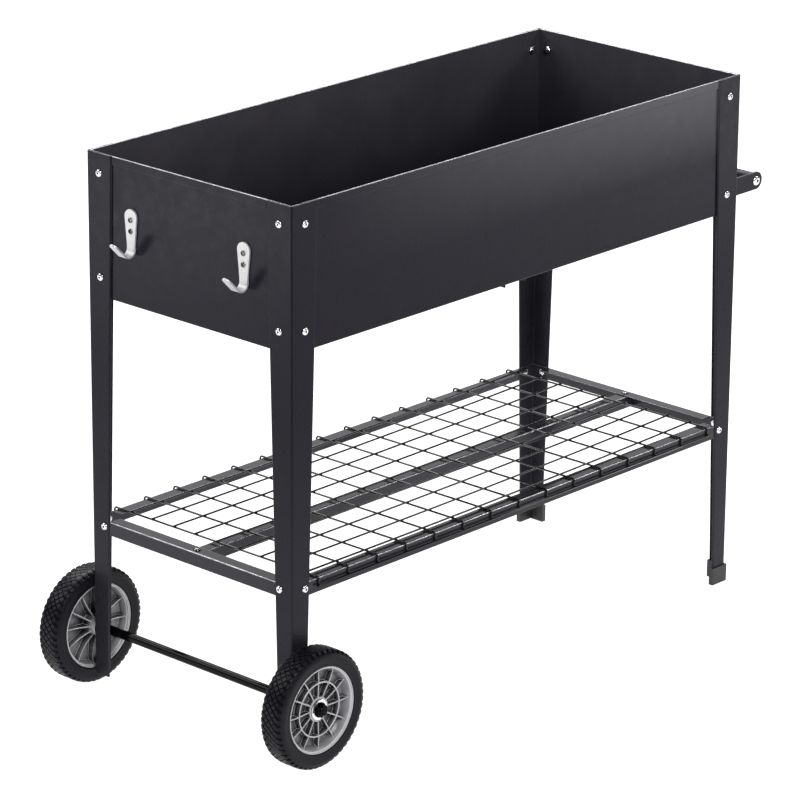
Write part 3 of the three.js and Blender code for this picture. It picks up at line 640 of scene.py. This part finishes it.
def make_rail(node, name, place, face, reach, flange_reach):
    """A steel angle: a web on the legs and a top flange that stops clear of them."""
    low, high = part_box(node)
    half = RAIL_SHEET / 2
    corners = [(face - half, low.z), (face - half, high.z - half), (face - RAIL_FLANGE, high.z - half)]
    line = bent_line(corners, [RAIL_BEND])
    inner = [flange_reach * k / 10 for k in range(-10, 11)]
    stations = [-reach] + inner + [reach]
    rows = [[place(s, p.x, p.y) for p in line] for s in stations]
    last = len(stations) - 2
    mesh = sheet(name, rows, RAIL_SHEET, lambda row, column: row in (0, last) and column > 4)
    add_piece(name, mesh, RAIL_COAT, stands_for=[node])


def make_rails():
    leg_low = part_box("front_left_leg")[0]
    for side_name, side in SIDES.items():
        low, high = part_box(f"{side_name}_shelf_rail")
        middle = (low.x + high.x) / 2
        face = max(abs(low.y), abs(high.y))
        reach = (high.x - low.x) / 2
        flange_reach = middle - leg_low.x - SIDE_FLANGE_STOP
        make_rail(f"{side_name}_shelf_rail", f"shelf_angle_{side_name}",
                  lambda s, a, z, side=side, middle=middle: (middle + s, side * a, z),
                  face, reach, flange_reach)
    middle = (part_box("front_panel")[0].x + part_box("front_panel")[1].x) / 2
    for end_name, end in ENDS.items():
        low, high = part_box(f"{end_name}_shelf_rail")
        face = max(abs(low.x - middle), abs(high.x - middle))
        reach = (high.y - low.y) / 2
        flange_reach = abs(leg_low.y) - END_FLANGE_STOP
        make_rail(f"{end_name}_shelf_rail", f"shelf_angle_{end_name}_end",
                  lambda s, a, z, end=end, middle=middle: (middle + end * a, s, z),
                  face, reach, flange_reach)


def make_centre_rail():
    """A channel, open below."""
    low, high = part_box("centre_shelf_rail")
    half = RAIL_SHEET / 2
    corners = [(low.y + half, low.z), (low.y + half, high.z - half),
               (high.y - half, high.z - half), (high.y - half, low.z)]
    line = bent_line(corners, [RAIL_BEND, RAIL_BEND])
    stations = [low.x + (high.x - low.x) * k / 20 for k in range(21)]
    rows = [[(x, p.x, p.y) for p in line] for x in stations]
    mesh = sheet("shelf_centre_channel", rows, RAIL_SHEET)
    add_piece(mesh.name, mesh, RAIL_COAT, stands_for=["centre_shelf_rail"])


make_rails()
make_centre_rail()


# ---------------- wire shelf

WIRE_RADIUS = 1.5 * MM
CROSS_WIRES = 15
LONG_WIRES = 9
CROSS_PITCH = 60.2 * MM
CROSS_SHIFT = 1.0 * MM
CROSS_BOW = 6.2 * MM
LONG_PITCH = 42.6 * MM
LONG_SHIFT = -6.9 * MM
LONG_BOW = 0.03
LONG_VALLEY = -232 * MM
WIRE_OVERHANG = 3 * MM
WIRE_BEND = 4.5 * MM
MAT_SKEW = 0.0145
MAT_GAP = 0.3 * MM
WELD_SINK = 0.5 * MM


def make_wire_shelf():
    """Welded grid: cross wires that turn down over the side rails, long wires on top of them."""
    low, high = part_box("wire_shelf")
    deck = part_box("front_shelf_rail")[1].z + MAT_GAP + WIRE_RADIUS
    fall = low.z
    front = low.y + 3 * WIRE_RADIUS - WELD_SINK
    back = high.y - 3 * WIRE_RADIUS + WELD_SINK
    middle = (low.x + high.x) / 2 + CROSS_SHIFT
    half = CROSS_PITCH * (CROSS_WIRES - 1) / 2
    bm = bmesh.new()
    cross_xs = [middle - half + CROSS_PITCH * i - CROSS_BOW * sin(pi * i / (CROSS_WIRES - 1))
                for i in range(CROSS_WIRES)]
    long_ys = [(i - (LONG_WIRES - 1) / 2) * LONG_PITCH + LONG_SHIFT for i in range(LONG_WIRES)]
    hoop = bent_line([(front, fall), (front, deck), (back, deck), (back, fall)], [WIRE_BEND, WIRE_BEND], 7)
    ends = (middle - half - WIRE_OVERHANG - WIRE_RADIUS, middle + half + WIRE_OVERHANG + WIRE_RADIUS)
    for x in cross_xs:
        add_tube(bm, [(x - MAT_SKEW * p.x, p.x, p.y) for p in hoop], WIRE_RADIUS)
    long_z = deck + 2 * WIRE_RADIUS - WELD_SINK
    for y in long_ys:
        at = {x: y + LONG_BOW * (x - LONG_VALLEY) ** 2 for x in (ends[0], *cross_xs, ends[1])}
        add_tube(bm, [(x - MAT_SKEW * at[x], at[x], long_z) for x in at], WIRE_RADIUS)
        for x in cross_xs:
            add_weld(bm, Vector((x - MAT_SKEW * at[x], at[x], deck + WIRE_RADIUS - WELD_SINK / 2)))
    border_z = fall + 2 * MM
    for edge, out in ((front, -1), (back, 1)):
        y = edge + out * (2 * WIRE_RADIUS - WELD_SINK)
        add_tube(bm, [(x - MAT_SKEW * y, y, border_z) for x in ends], WIRE_RADIUS)
        for x in cross_xs:
            weld_y = edge + out * (WIRE_RADIUS - WELD_SINK / 2)
            add_weld(bm, Vector((x - MAT_SKEW * weld_y, weld_y, border_z)))
    mesh = mesh_of("wire_grid", bm, sharp=60)
    add_piece("wire_grid", mesh, WIRE_COAT, "shelf", ["wire_shelf"])


def add_weld(bm, centre):
    """The small squeezed-out collar of a resistance weld."""
    made = bmesh.ops.create_uvsphere(bm, u_segments=10, v_segments=6, radius=1.0)
    scale = Matrix.Diagonal((1.95 * MM, 1.95 * MM, 1.05 * MM, 1))
    bmesh.ops.transform(bm, matrix=Matrix.Translation(centre) @ scale, verts=made["verts"])


make_wire_shelf()


# ---------------- screws and bolts

def head_mesh(name, radius, height, recess):
    """A pan head along +Y, its seat at y = 0, with a cross recess."""
    bm = bmesh.new()
    crown = [(radius * 0.0, height), (radius * 0.35, height * 0.985), (radius * 0.62, height * 0.90),
             (radius * 0.82, height * 0.72), (radius * 0.95, height * 0.42), (radius, height * 0.14),
             (radius * 0.985, 0.0), (0, 0.0)]
    revolve(bm, crown, 32, ORIGIN)
    head = mesh_of(name, bm, 50)
    cutter = bmesh.new()
    for turn in (0, pi / 2):
        c, s = cos(turn), sin(turn)
        wide = 0.29 * recess
        slot = [(recess, wide), (recess, -wide), (-recess, -wide), (-recess, wide)]
        shrink = 0.6
        floor = [Vector((c * x * shrink - s * z, height * 0.12, s * x * shrink + c * z)) for x, z in slot]
        mouth = [Vector((c * x - s * z * 1.35, height * 1.3, s * x + c * z * 1.35)) for x, z in slot]
        add_block(cutter, floor, mouth)
    tool = bpy.data.objects.new("cross_recess", mesh_of("cross_recess", cutter))
    bpy.context.scene.collection.objects.link(tool)
    boolean = {"object": tool, "operation": "DIFFERENCE", "solver": "EXACT", "use_self": True}
    result = with_modifiers(head, ("BOOLEAN", boolean))
    bpy.data.objects.remove(tool)
    result.set_sharp_from_angle(angle=radians(38))
    return result


def joined(name, parts):
    """One mesh out of several (mesh, matrix) parts."""
    bm = bmesh.new()
    for mesh, matrix in parts:
        piece = mesh.copy()
        piece.transform(matrix)
        bm.from_mesh(piece)
        bpy.data.meshes.remove(piece)
    result = bpy.data.meshes.new(name)
    bm.to_mesh(result)
    bm.free()
    result.set_sharp_from_angle(angle=radians(38))
    return result


def nut_mesh(name, across_flats, height, bore):
    """A hexagon nut along Y, from y = 0 down, with chamfered corners and its bolt's end."""
    corner = across_flats / 2 / cos(pi / 6)
    bm = bmesh.new()
    profile = [(bore, 0), (corner * 0.9, 0), (corner, -0.12 * height), (corner, -0.85 * height),
               (corner * 0.88, -height), (bore, -height)]
    revolve(bm, profile, 6, ORIGIN, start=pi / 6)
    revolve(bm, [(bore, -height * 0.2), (bore, -height - 1.2 * MM), (bore * 0.75, -height - 1.8 * MM),
                 (0, -height - 1.8 * MM)], 20, ORIGIN)
    return mesh_of(name, bm, 30)


def shank_mesh(name, radius, length):
    bm = bmesh.new()
    revolve(bm, [(0, 0.2 * MM), (radius, 0.2 * MM), (radius, -length), (0, -length)], 20, ORIGIN)
    return mesh_of(name, bm, 40)


BOLT_HEAD = head_mesh("m6_pan_head", 5.5 * MM, 2.7 * MM, 2.3 * MM)
HANDLE_BOLT_HEAD = head_mesh("handle_bolt_head", 7.3 * MM, 2.7 * MM, 3.4 * MM)
BOLT_NUT = nut_mesh("m6_nut", 9.6 * MM, 4.8 * MM, 2.9 * MM)
SCREW_HEAD = head_mesh("hook_screw_head", 4.1 * MM, 2.2 * MM, 3.0 * MM)


def bolt_mesh(length):
    """A bolt whose head seats at y = 0 and whose nut, if any, starts at -length."""
    shank = shank_mesh("shank", 2.9 * MM, length + 1 * MM)
    parts = [(BOLT_HEAD, Matrix.Identity(4)), (shank, Matrix.Identity(4)),
             (BOLT_NUT, Matrix.Translation((0, -length, 0)))]
    return joined(f"bolt_{round(length / MM * 10)}", parts)


def towards(out):
    """The turn that takes +Y to a direction."""
    return Vector((0, 1, 0)).rotation_difference(Vector(out)).to_matrix().to_4x4()


BOLTS = {}


def place_bolt(node, out):
    """Stands for a CAD bolt, at its head's seat, looking out along an axis."""
    low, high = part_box(node)
    centre = (low + high) / 2
    axis = 0 if abs(out[0]) > 0.5 else 1
    head_height = 2.6 * MM
    nut_height = 5 * MM
    tip = high[axis] if out[axis] > 0 else low[axis]
    seat = tip - out[axis] * head_height
    grip = high[axis] - low[axis] - head_height - nut_height
    key = round(grip / MM, 1)
    if key not in BOLTS:
        BOLTS[key] = bolt_mesh(grip)
    centre[axis] = seat - out[axis] * 0.25 * MM
    mesh = BOLTS[key].copy()
    mesh.name = f"m6_{node}"
    spin = Matrix.Rotation(radians(clocking(node)), 4, "Y")
    mesh.transform(Matrix.Translation(centre) @ towards(out) @ spin)
    add_piece(f"m6_{node}", mesh, STEEL, stands_for=[node])


def clocking(name):
    """A repeatable angle in degrees from a name, so that no two screws are turned alike."""
    return sum((index + 3) * ord(letter) for index, letter in enumerate(name)) % 90


def make_bolts():
    for side_name, side in SIDES.items():
        for end_name, end in ENDS.items():
            for level in ("top", "lower", "shelf"):
                place_bolt(f"{level}_{side_name}_bolt_{end_name}", (0, side, 0))
                place_bolt(f"{level}_end_bolt_{side_name}_{end_name}", (end, 0, 0))


def make_centre_rail_screws():
    """The two screws that hold the centre rail's ends under the end rails' top flanges."""
    low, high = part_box("centre_shelf_rail")
    inset = 10.5 * MM
    for end_name, end in ENDS.items():
        rail_low, rail_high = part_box(f"{end_name}_shelf_rail")
        face = rail_low.x if end < 0 else rail_high.x
        screw = BOLT_HEAD.copy()
        seat = Matrix.Translation((face - end * inset, (low.y + high.y) / 2, rail_high.z - 0.05 * MM))
        screw.transform(seat @ towards((0, 0, 1)) @ Matrix.Rotation(radians(33), 4, "Y"))
        add_piece(f"centre_rail_screw_{end_name}", screw, SCREW_STEEL)


make_bolts()
make_centre_rail_screws()


# ---------------- tool hooks

HOOK_SHEET = 2.5 * MM
STRIP_ACROSS = (-1, -0.6, -0.2, 0.2, 0.6, 1)


def make_hook(node, name):
    """A flat strip with a round head, narrowed to a stem and bent out into a J."""
    low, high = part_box(node)
    y = (low.y + high.y) / 2
    middle = high.x - HOOK_SHEET / 2
    top = high.z
    bend = 10 * MM
    bend_z = low.z + bend + HOOK_SHEET / 2
    head = (high.y - low.y) / 2
    stem = 7.5 * MM
    tip = 7.0 * MM
    path = []
    for k in range(13):
        angle = pi / 2 * k / 12
        path.append((middle, top - head * (1 - cos(angle)), head * sin(angle) + 0.05 * MM))
    shoulder = low.z + 16 * MM
    fall = 12
    for k in range(1, fall + 1):
        share = k / fall
        path.append((middle, top - head + (shoulder - top + head) * share, head + (stem - head) * share))
    path.append((middle, bend_z, stem))
    sweep = radians(135)
    for k in range(1, 13):
        angle = -sweep * k / 12
        path.append((middle - bend + bend * cos(angle), bend_z + bend * sin(angle), stem))
    arm = 28.5 * MM
    end_x, end_z = path[-1][0], path[-1][1]
    for k in range(1, 9):
        share = k / 8
        reach = (arm - tip) * share
        path.append((end_x - reach * cos(pi / 4), end_z + reach * sin(pi / 4), stem + (tip - stem) * share))
    end_x, end_z = path[-1][0], path[-1][1]
    for k in range(1, 10):
        angle = pi / 2 * k / 9
        reach = tip * sin(angle)
        half = tip * cos(angle) + 0.05 * MM
        path.append((end_x - reach * cos(pi / 4), end_z + reach * sin(pi / 4), half))
    rows = [[(x, y + half * t, z) for t in STRIP_ACROSS] for x, z, half in path]
    mesh = sheet(name, rows, HOOK_SHEET, edge=0.7 * MM)
    add_piece(name, mesh, HOOK_STEEL, stands_for=[node])
    plate_face = high.x - HOOK_SHEET + 0.02 * MM
    for index, drop in enumerate((head * 1.35, head * 1.35 + 16 * MM)):
        screw = SCREW_HEAD.copy()
        seat = Matrix.Translation((plate_face, y, top - drop)) @ towards((-1, 0, 0))
        screw.transform(seat @ Matrix.Rotation(radians(20 + 31 * index), 4, "Y"))
        add_piece(f"{name}_screw_{index + 1}", screw, SCREW_STEEL)


make_hook("back_hook", "tool_hook_back")
make_hook("front_hook", "tool_hook_front")


# ---------------- push handle

def make_bracket(side_name, side):
    """A flat strip bent at the leg, its arm ending in a half round."""
    node = f"{side_name}_handle_bracket"
    low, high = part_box(node)
    half_height = (high.z - low.z) / 2
    middle_z = (high.z + low.z) / 2
    thick = 3 * MM
    face = high.y if side > 0 else low.y
    back = low.x + thick / 2
    arm_y = face - side * thick / 2
    tab_y = face - side * 24 * MM
    tip = high.x - half_height
    line = bent_line([(back, tab_y), (back, arm_y), (tip, arm_y)], [3.5 * MM])
    path = [(p.x, p.y, half_height) for p in line]
    for k in range(1, 13):
        angle = pi / 2 * k / 12
        path.append((tip + half_height * sin(angle), arm_y, half_height * cos(angle) + 0.05 * MM))
    rows = [[(x, y, middle_z + half * t) for t in STRIP_ACROSS] for x, y, half in path]
    mesh = sheet(f"handle_strip_{side_name}", rows, thick, edge=0.45 * MM)
    add_piece(mesh.name, mesh, COAT, stands_for=[node])

    low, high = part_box(f"{side_name}_handle_bolt")
    centre = (low + high) / 2
    centre.y = face + side * 0.05 * MM
    shank = shank_mesh("shank", 2.9 * MM, 14 * MM)
    unmoved = Matrix.Identity(4)
    bolt = joined(f"handle_screw_{side_name}", [(HANDLE_BOLT_HEAD, unmoved), (shank, unmoved)])
    spin = Matrix.Rotation(radians(25), 4, "Y")
    bolt.transform(Matrix.Translation(centre) @ towards((0, side, 0)) @ spin)
    add_piece(bolt.name, bolt, STEEL, stands_for=[f"{side_name}_handle_bolt"])


def make_handle_bar():
    """Round tube with rolled ends round its threaded inserts."""
    low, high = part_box("handle_bar")
    centre = (low + high) / 2
    radius = (high.z - low.z) / 2
    half = (high.y - low.y) / 2
    ease = 1.4 * MM
    end = [(3.4 * MM, -half + 10 * MM), (3.4 * MM, -half + 0.6 * MM), (4.0 * MM, -half),
           (radius - ease, -half), (radius - ease * 0.3, -half + ease * 0.3), (radius, -half + ease)]
    profile = end + [(radius, -half + ease + (2 * half - 2 * ease) * k / 12) for k in range(1, 12)]
    profile += [(r, -a) for r, a in reversed(end)]
    bm = bmesh.new()
    revolve(bm, profile, 48, centre, closed=True)
    add_piece("push_bar", mesh_of("push_bar", bm, 35), COAT, stands_for=["handle_bar"])


for side_name, side in SIDES.items():
    make_bracket(side_name, side)
make_handle_bar()


# ---------------- foot caps

def make_cap_looks():
    for side_name in SIDES:
        cad = dress_cad(f"{side_name}_foot_cap", CAP, "moulded_edges", 0.9 * MM, 3)
        cad.modifiers.new("flat_faces", "WEIGHTED_NORMAL")
        cad.data.shade_smooth()


make_cap_looks()


# ---------------- axle, washers and end caps

def make_axle():
    low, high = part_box("axle")
    centre = (low + high) / 2
    radius = (high.z - low.z) / 2
    half = (high.y - low.y) / 2
    ease = 0.8 * MM
    profile = [(0, -half), (radius - ease, -half), (radius, -half + ease)]
    profile += [(radius, -half + ease + 2 * (half - ease) * k / 10) for k in range(1, 11)]
    profile += [(radius - ease, half), (0, half)]
    bm = bmesh.new()
    revolve(bm, profile, 40, centre)
    add_piece("axle_rod", mesh_of("axle_rod", bm, 35), GLOSS, stands_for=["axle"])


def make_axle_end(side_name, side):
    """A dished bright washer and a black lock nut with a round nose."""
    low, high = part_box(f"{side_name}_axle_washer")
    centre = (low + high) / 2
    inner_face = high.y if side < 0 else low.y
    bm = bmesh.new()
    profile = [(7.3, 0.1), (14.8, 0.1), (15.2, 0.4), (15.1, 0.9),
               (14.2, 1.3), (12.6, 1.1), (11.4, 1.5), (7.3, 1.5)]
    seat = Vector((centre.x, inner_face, centre.z))
    revolve(bm, in_mm(profile), 40, seat, side, closed=True)
    name = f"axle_washer_{side_name}"
    add_piece(name, mesh_of(name, bm, 30), STEEL, stands_for=[f"{side_name}_axle_washer"])

    low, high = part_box(f"{side_name}_axle_cap")
    start = high.y if side < 0 else low.y
    seat = Vector((centre.x, start, centre.z))
    bm = bmesh.new()
    flange = [(7.2, 0.0), (10.7, 0.0), (11.0, 0.3), (11.0, 1.0), (10.6, 1.4), (7.2, 1.4)]
    revolve(bm, in_mm(flange), 40, seat, side, closed=True)
    hexagon = [(0, 1.0), (10.2, 1.0), (10.5, 1.5), (10.5, 5.0), (9.4, 6.0), (0, 6.0)]
    revolve(bm, in_mm(hexagon), 6, seat, side, start=radians(12))
    nose = [(0, 5.5), (7.4, 5.5), (7.4, 6.9), (6.6, 7.9), (5.4, 8.2),
            (4.9, 7.5), (3.6, 7.4), (3.2, 8.0), (0, 8.2)]
    revolve(bm, in_mm(nose), 28, seat, side)
    name = f"axle_nut_{side_name}"
    add_piece(name, mesh_of(name, bm, 30), GLOSS, stands_for=[f"{side_name}_axle_cap"])


make_axle()
for side_name, side in SIDES.items():
    make_axle_end(side_name, side)


# ---------------- tyres

TREAD_PITCHES = 52
SHOULDER_LUGS = 52
TREAD_DEPTH = 1.9 * MM
TREAD_ROWS = (-10.8 * MM, -5.4 * MM, 0.0, 5.4 * MM, 10.8 * MM)
BLOCK_HALF_WIDTH = 4.7 * MM
BLOCK_HALF_LENGTH = 0.43 * 2 * pi / TREAD_PITCHES
BLOCK_TAPER = 0.84
CROWN_HALF = 9 * MM
TYRE_STEPS = 216


def droop(across):
    """How far the tread's crown has fallen at a distance from the wheel's middle plane."""
    return max(0.0, abs(across) - CROWN_HALF) ** 2 / (38 * MM)


def make_tyre(side_name):
    """Solid rubber: a smooth carcass with lattice tread blocks and shoulder lugs."""
    low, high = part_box(f"{side_name}_tyre")
    centre = (low + high) / 2
    radius = (high.z - low.z) / 2
    base = radius - TREAD_DEPTH
    side_wall = [
        (60.3, 16.5), (63.3, 16.5), (63.4, 17.6), (64.0, 18.7), (65.4, 19.2), (67.0, 18.9), (68.0, 18.9),
        (70.0, 19.3), (73.5, 19.6), (75.6, 19.6), (76.0, 19.3), (76.6, 19.3), (77.0, 19.5), (79.5, 19.0),
        (81.6, 17.8),
    ]
    shoulder = [(base - 2.9 * MM, 16.0 * MM), (base - 1.2 * MM, 13.2 * MM),
                (base - 0.3 * MM, 11.0 * MM), (base, 9.0 * MM), (base, 3.0 * MM)]
    half_profile = in_mm(side_wall) + shoulder
    profile = half_profile + [(r, -a) for r, a in reversed(half_profile)]
    bm = bmesh.new()
    revolve(bm, profile, TYRE_STEPS, centre, closed=True)

    def on_tread(angle, across, height):
        """A point on the tread, which follows the carcass down to its shoulders."""
        reach = base - droop(across) + height
        return centre + Vector((reach * sin(angle), across, reach * cos(angle)))

    pitch = 2 * pi / TREAD_PITCHES
    for index in range(TREAD_PITCHES):
        for row, across in enumerate(TREAD_ROWS):
            angle = pitch * (index + 0.5 * (row % 2))
            outline = [(angle - BLOCK_HALF_LENGTH, across), (angle, across - BLOCK_HALF_WIDTH),
                       (angle + BLOCK_HALF_LENGTH, across), (angle, across + BLOCK_HALF_WIDTH)]
            lower = [on_tread(a, b, -0.6 * MM) for a, b in outline]
            upper = [on_tread(angle + (a - angle) * BLOCK_TAPER,
                              across + (b - across) * BLOCK_TAPER, TREAD_DEPTH)
                     for a, b in outline]
            add_block(bm, lower, upper)
    lug_pitch = 2 * pi / SHOULDER_LUGS
    for index in range(SHOULDER_LUGS):
        for way in (-1, 1):
            add_lug(bm, lug_pitch * (index + 0.25 * way), way, 0.3 * lug_pitch, centre, base)
    name = f"rubber_tyre_{side_name}"
    add_piece(name, mesh_of(name, bm, 32), RUBBER, f"{side_name}_wheel", [f"{side_name}_tyre"])


def add_lug(bm, angle, way, long, centre, base):
    """A shoulder lug: from the tread's edge over the shoulder onto the sidewall."""
    stations = [(11.6, 0.0, 1.9), (14.8, 0.0, 2.1), (17.3, -1.0, 2.2), (18.9, -3.8, 1.8), (19.3, -6.6, 0.8)]
    rings = []
    for step, (across, fall, rise) in enumerate(stations):
        narrow = 0.45 if step == 0 else (0.85 if step < 4 else 0.6)
        ring = []
        for a, up in ((-1.0, -2.2), (-narrow, rise), (narrow, rise), (1.0, -2.2)):
            turn = angle + a * long * (0.7 if step == 0 else 1.0)
            if step < 2:
                reach = base - droop(across * MM) + up * MM
                side = across * MM
            else:
                lean = 0.55 if step == 2 else (0.9 if step == 3 else 1.0)
                reach = base - 0.9 * MM + fall * MM + up * MM * (1 - lean)
                side = (across + (up - rise) * lean * 0.8) * MM
            ring.append(bm.verts.new(centre + Vector((reach * sin(turn), way * side, reach * cos(turn)))))
        rings.append(ring)
    bridge(bm, rings)


for side_name in SIDES:
    make_tyre(side_name)


# ---------------- wheel hubs

RIBS = 12
HUB_STEPS = 96


def make_hub(side_name, side):
    """Grey moulding: rim, dished web, mid ring, boss and radial ribs on both faces."""
    low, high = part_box(f"{side_name}_tyre")
    centre = (low + high) / 2
    hub_low, hub_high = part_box(f"{side_name}_wheel_hub")
    boss_inner = max(abs(hub_low.y - centre.y), abs(hub_high.y - centre.y))
    if side * (hub_high.y - centre.y) > side * (centre.y - hub_low.y):
        boss_inner = abs(hub_low.y - centre.y) if side > 0 else abs(hub_high.y - centre.y)
    inner_mm = boss_inner / MM
    # along is outwards from the planter; the outer face is positive
    shell = [
        (7.3, 12.0), (16.6, 12.0), (17.6, 11.8), (18.0, 11.2), (18.2, 4.2), (19.0, 3.5),
        (36.0, 3.3), (53.0, 3.5), (54.4, 4.4), (57.6, 10.8), (60.4, 16.6), (61.0, 17.9), (61.8, 18.3),
        (62.6, 18.2), (63.0, 17.6), (63.0, 16.8), (60.0, 16.7), (60.0, -16.7), (63.0, -16.8),
        (63.0, -17.8), (62.5, -18.2), (61.6, -18.1), (60.9, -17.2), (57.6, -5.0), (56.4, -1.0),
        (54.0, 0.2), (30.0, 0.2), (15.8, 0.0), (15.2, -0.8), (14.8, -inner_mm + 0.8),
        (14.0, -inner_mm), (7.3, -inner_mm),
    ]
    bm = bmesh.new()
    revolve(bm, in_mm(shell), HUB_STEPS, centre, side, closed=True)
    mid_ring = [(38.2, 3.0), (38.2, 12.9), (38.6, 13.4), (39.9, 13.4), (40.3, 12.9), (40.3, 3.0)]
    revolve(bm, in_mm(mid_ring), HUB_STEPS, centre, side, closed=True)

    def rib(angle, r_from, r_to, top_from, top_to, floor, steps=5, sag=0.0):
        """A thin radial wall standing on the web, its top edge from one height to another."""
        thick = 0.85 * MM
        ease = 0.35
        rings = []
        for step in range(steps + 1):
            share = step / steps
            r = (r_from + (r_to - r_from) * share) * MM
            top = (top_from + (top_to - top_from) * share - sag * sin(pi * share)) * MM
            ring = []
            for width, along in ((-1, floor * MM), (-1, top - ease * MM * (1 if top > floor * MM else -1)),
                                 (-0.5, top), (0.5, top),
                                 (1, top - ease * MM * (1 if top > floor * MM else -1)), (1, floor * MM)):
                out = Vector((r * cos(angle) - width * thick * sin(angle), side * along,
                              r * sin(angle) + width * thick * cos(angle)))
                ring.append(bm.verts.new(centre + out))
            rings.append(ring)
        bridge(bm, rings)

    for index in range(RIBS):
        angle = 2 * pi * index / RIBS
        rib(angle, 39.5, 58.0, 12.6, 11.4, 3.0)
        rib(angle, 18.0, 39.0, 11.0, 12.0, 3.0)
        rib(angle + radians(-5), 14.0, 59.2, -15.5, -10.5, 0.5, 10, -3.5)
    name = f"ribbed_hub_{side_name}"
    add_piece(name, mesh_of(name, bm, 32), HUB, f"{side_name}_wheel", [f"{side_name}_wheel_hub"])


for side_name, side in SIDES.items():
    make_hub(side_name, side)


# ---------------- studio

WORLD_FRONT = 0.28
WORLD_BACK = 1.25


def make_studio():
    floor_mesh = bpy.data.meshes.new("studio_floor")
    half = 30
    corners = [(-half, -half, 0), (half, -half, 0), (half, half, 0), (-half, half, 0)]
    floor_mesh.from_pydata(corners, [], [(0, 1, 2, 3)])
    floor = bpy.data.objects.new("studio_floor", floor_mesh)
    bpy.context.scene.collection.objects.link(floor)
    s = Shader("pale_floor")
    s.set(Base_Color=(0.25, 0.25, 0.25), Roughness=0.9, Specular_IOR_Level=0.1)
    s.set(Emission_Color=(1, 1, 1), Emission_Strength=1.0)
    floor_mesh.materials.append(s.material)

    world = bpy.data.worlds.new("studio")
    world.use_nodes = True
    nodes = world.node_tree.nodes
    links = world.node_tree.links
    towards_backdrop = nodes.new("ShaderNodeVectorMath")
    towards_backdrop.operation = "DOT_PRODUCT"
    towards_backdrop.inputs[1].default_value = (0.68, 0.62, 0.38)
    links.new(nodes.new("ShaderNodeTexCoord").outputs["Generated"], towards_backdrop.inputs[0])
    glow = nodes.new("ShaderNodeMapRange")
    glow.inputs["From Min"].default_value = -0.2
    glow.inputs["To Min"].default_value = WORLD_FRONT
    glow.inputs["To Max"].default_value = WORLD_BACK
    links.new(towards_backdrop.outputs["Value"], glow.inputs["Value"])
    links.new(glow.outputs["Result"], nodes["Background"].inputs["Strength"])
    bpy.context.scene.world = world

    def softbox(name, place, target, size, watts, spread=180):
        data = bpy.data.lights.new(name, "AREA")
        data.shape = "RECTANGLE"
        data.size, data.size_y = size
        data.energy = watts
        data.spread = radians(spread)
        light = bpy.data.objects.new(name, data)
        light.location = place
        aim = Vector(target) - Vector(place)
        light.rotation_euler = aim.to_track_quat("-Z", "Y").to_euler()
        bpy.context.scene.collection.objects.link(light)

    softbox("overhead", (1.2, 1.35, 3.3), (0.1, 0.1, 0.6), (3.6, 2.4), 250)
    softbox("left_high", (-2.2, 2.5, 2.7), (-0.2, 0.1, 0.7), (2.2, 1.6), 60)
    softbox("front_top", (-1.5, -2.4, 2.9), (0.0, 0.1, 0.55), (1.6, 1.4), 17, spread=75)
    softbox("right_high", (2.4, -1.3, 2.4), (0.1, -0.1, 0.45), (1.0, 0.6), 22)
    softbox("back_card", (2.9, 2.7, 1.5), (0, 0, 0.5), (3.5, 1.6), 16)
    softbox("right_card", (2.0, -1.78, 0.14), (0.3, -0.2, 0.6), (1.3, 0.26), 3.8)
    softbox("left_card", (-2.1, 1.5, 0.14), (-0.47, 0.0, 0.6), (0.8, 0.26), 4)
    scene = bpy.context.scene
    scene.view_settings.view_transform = "Standard"
    scene.view_settings.look = "None"


make_studio()
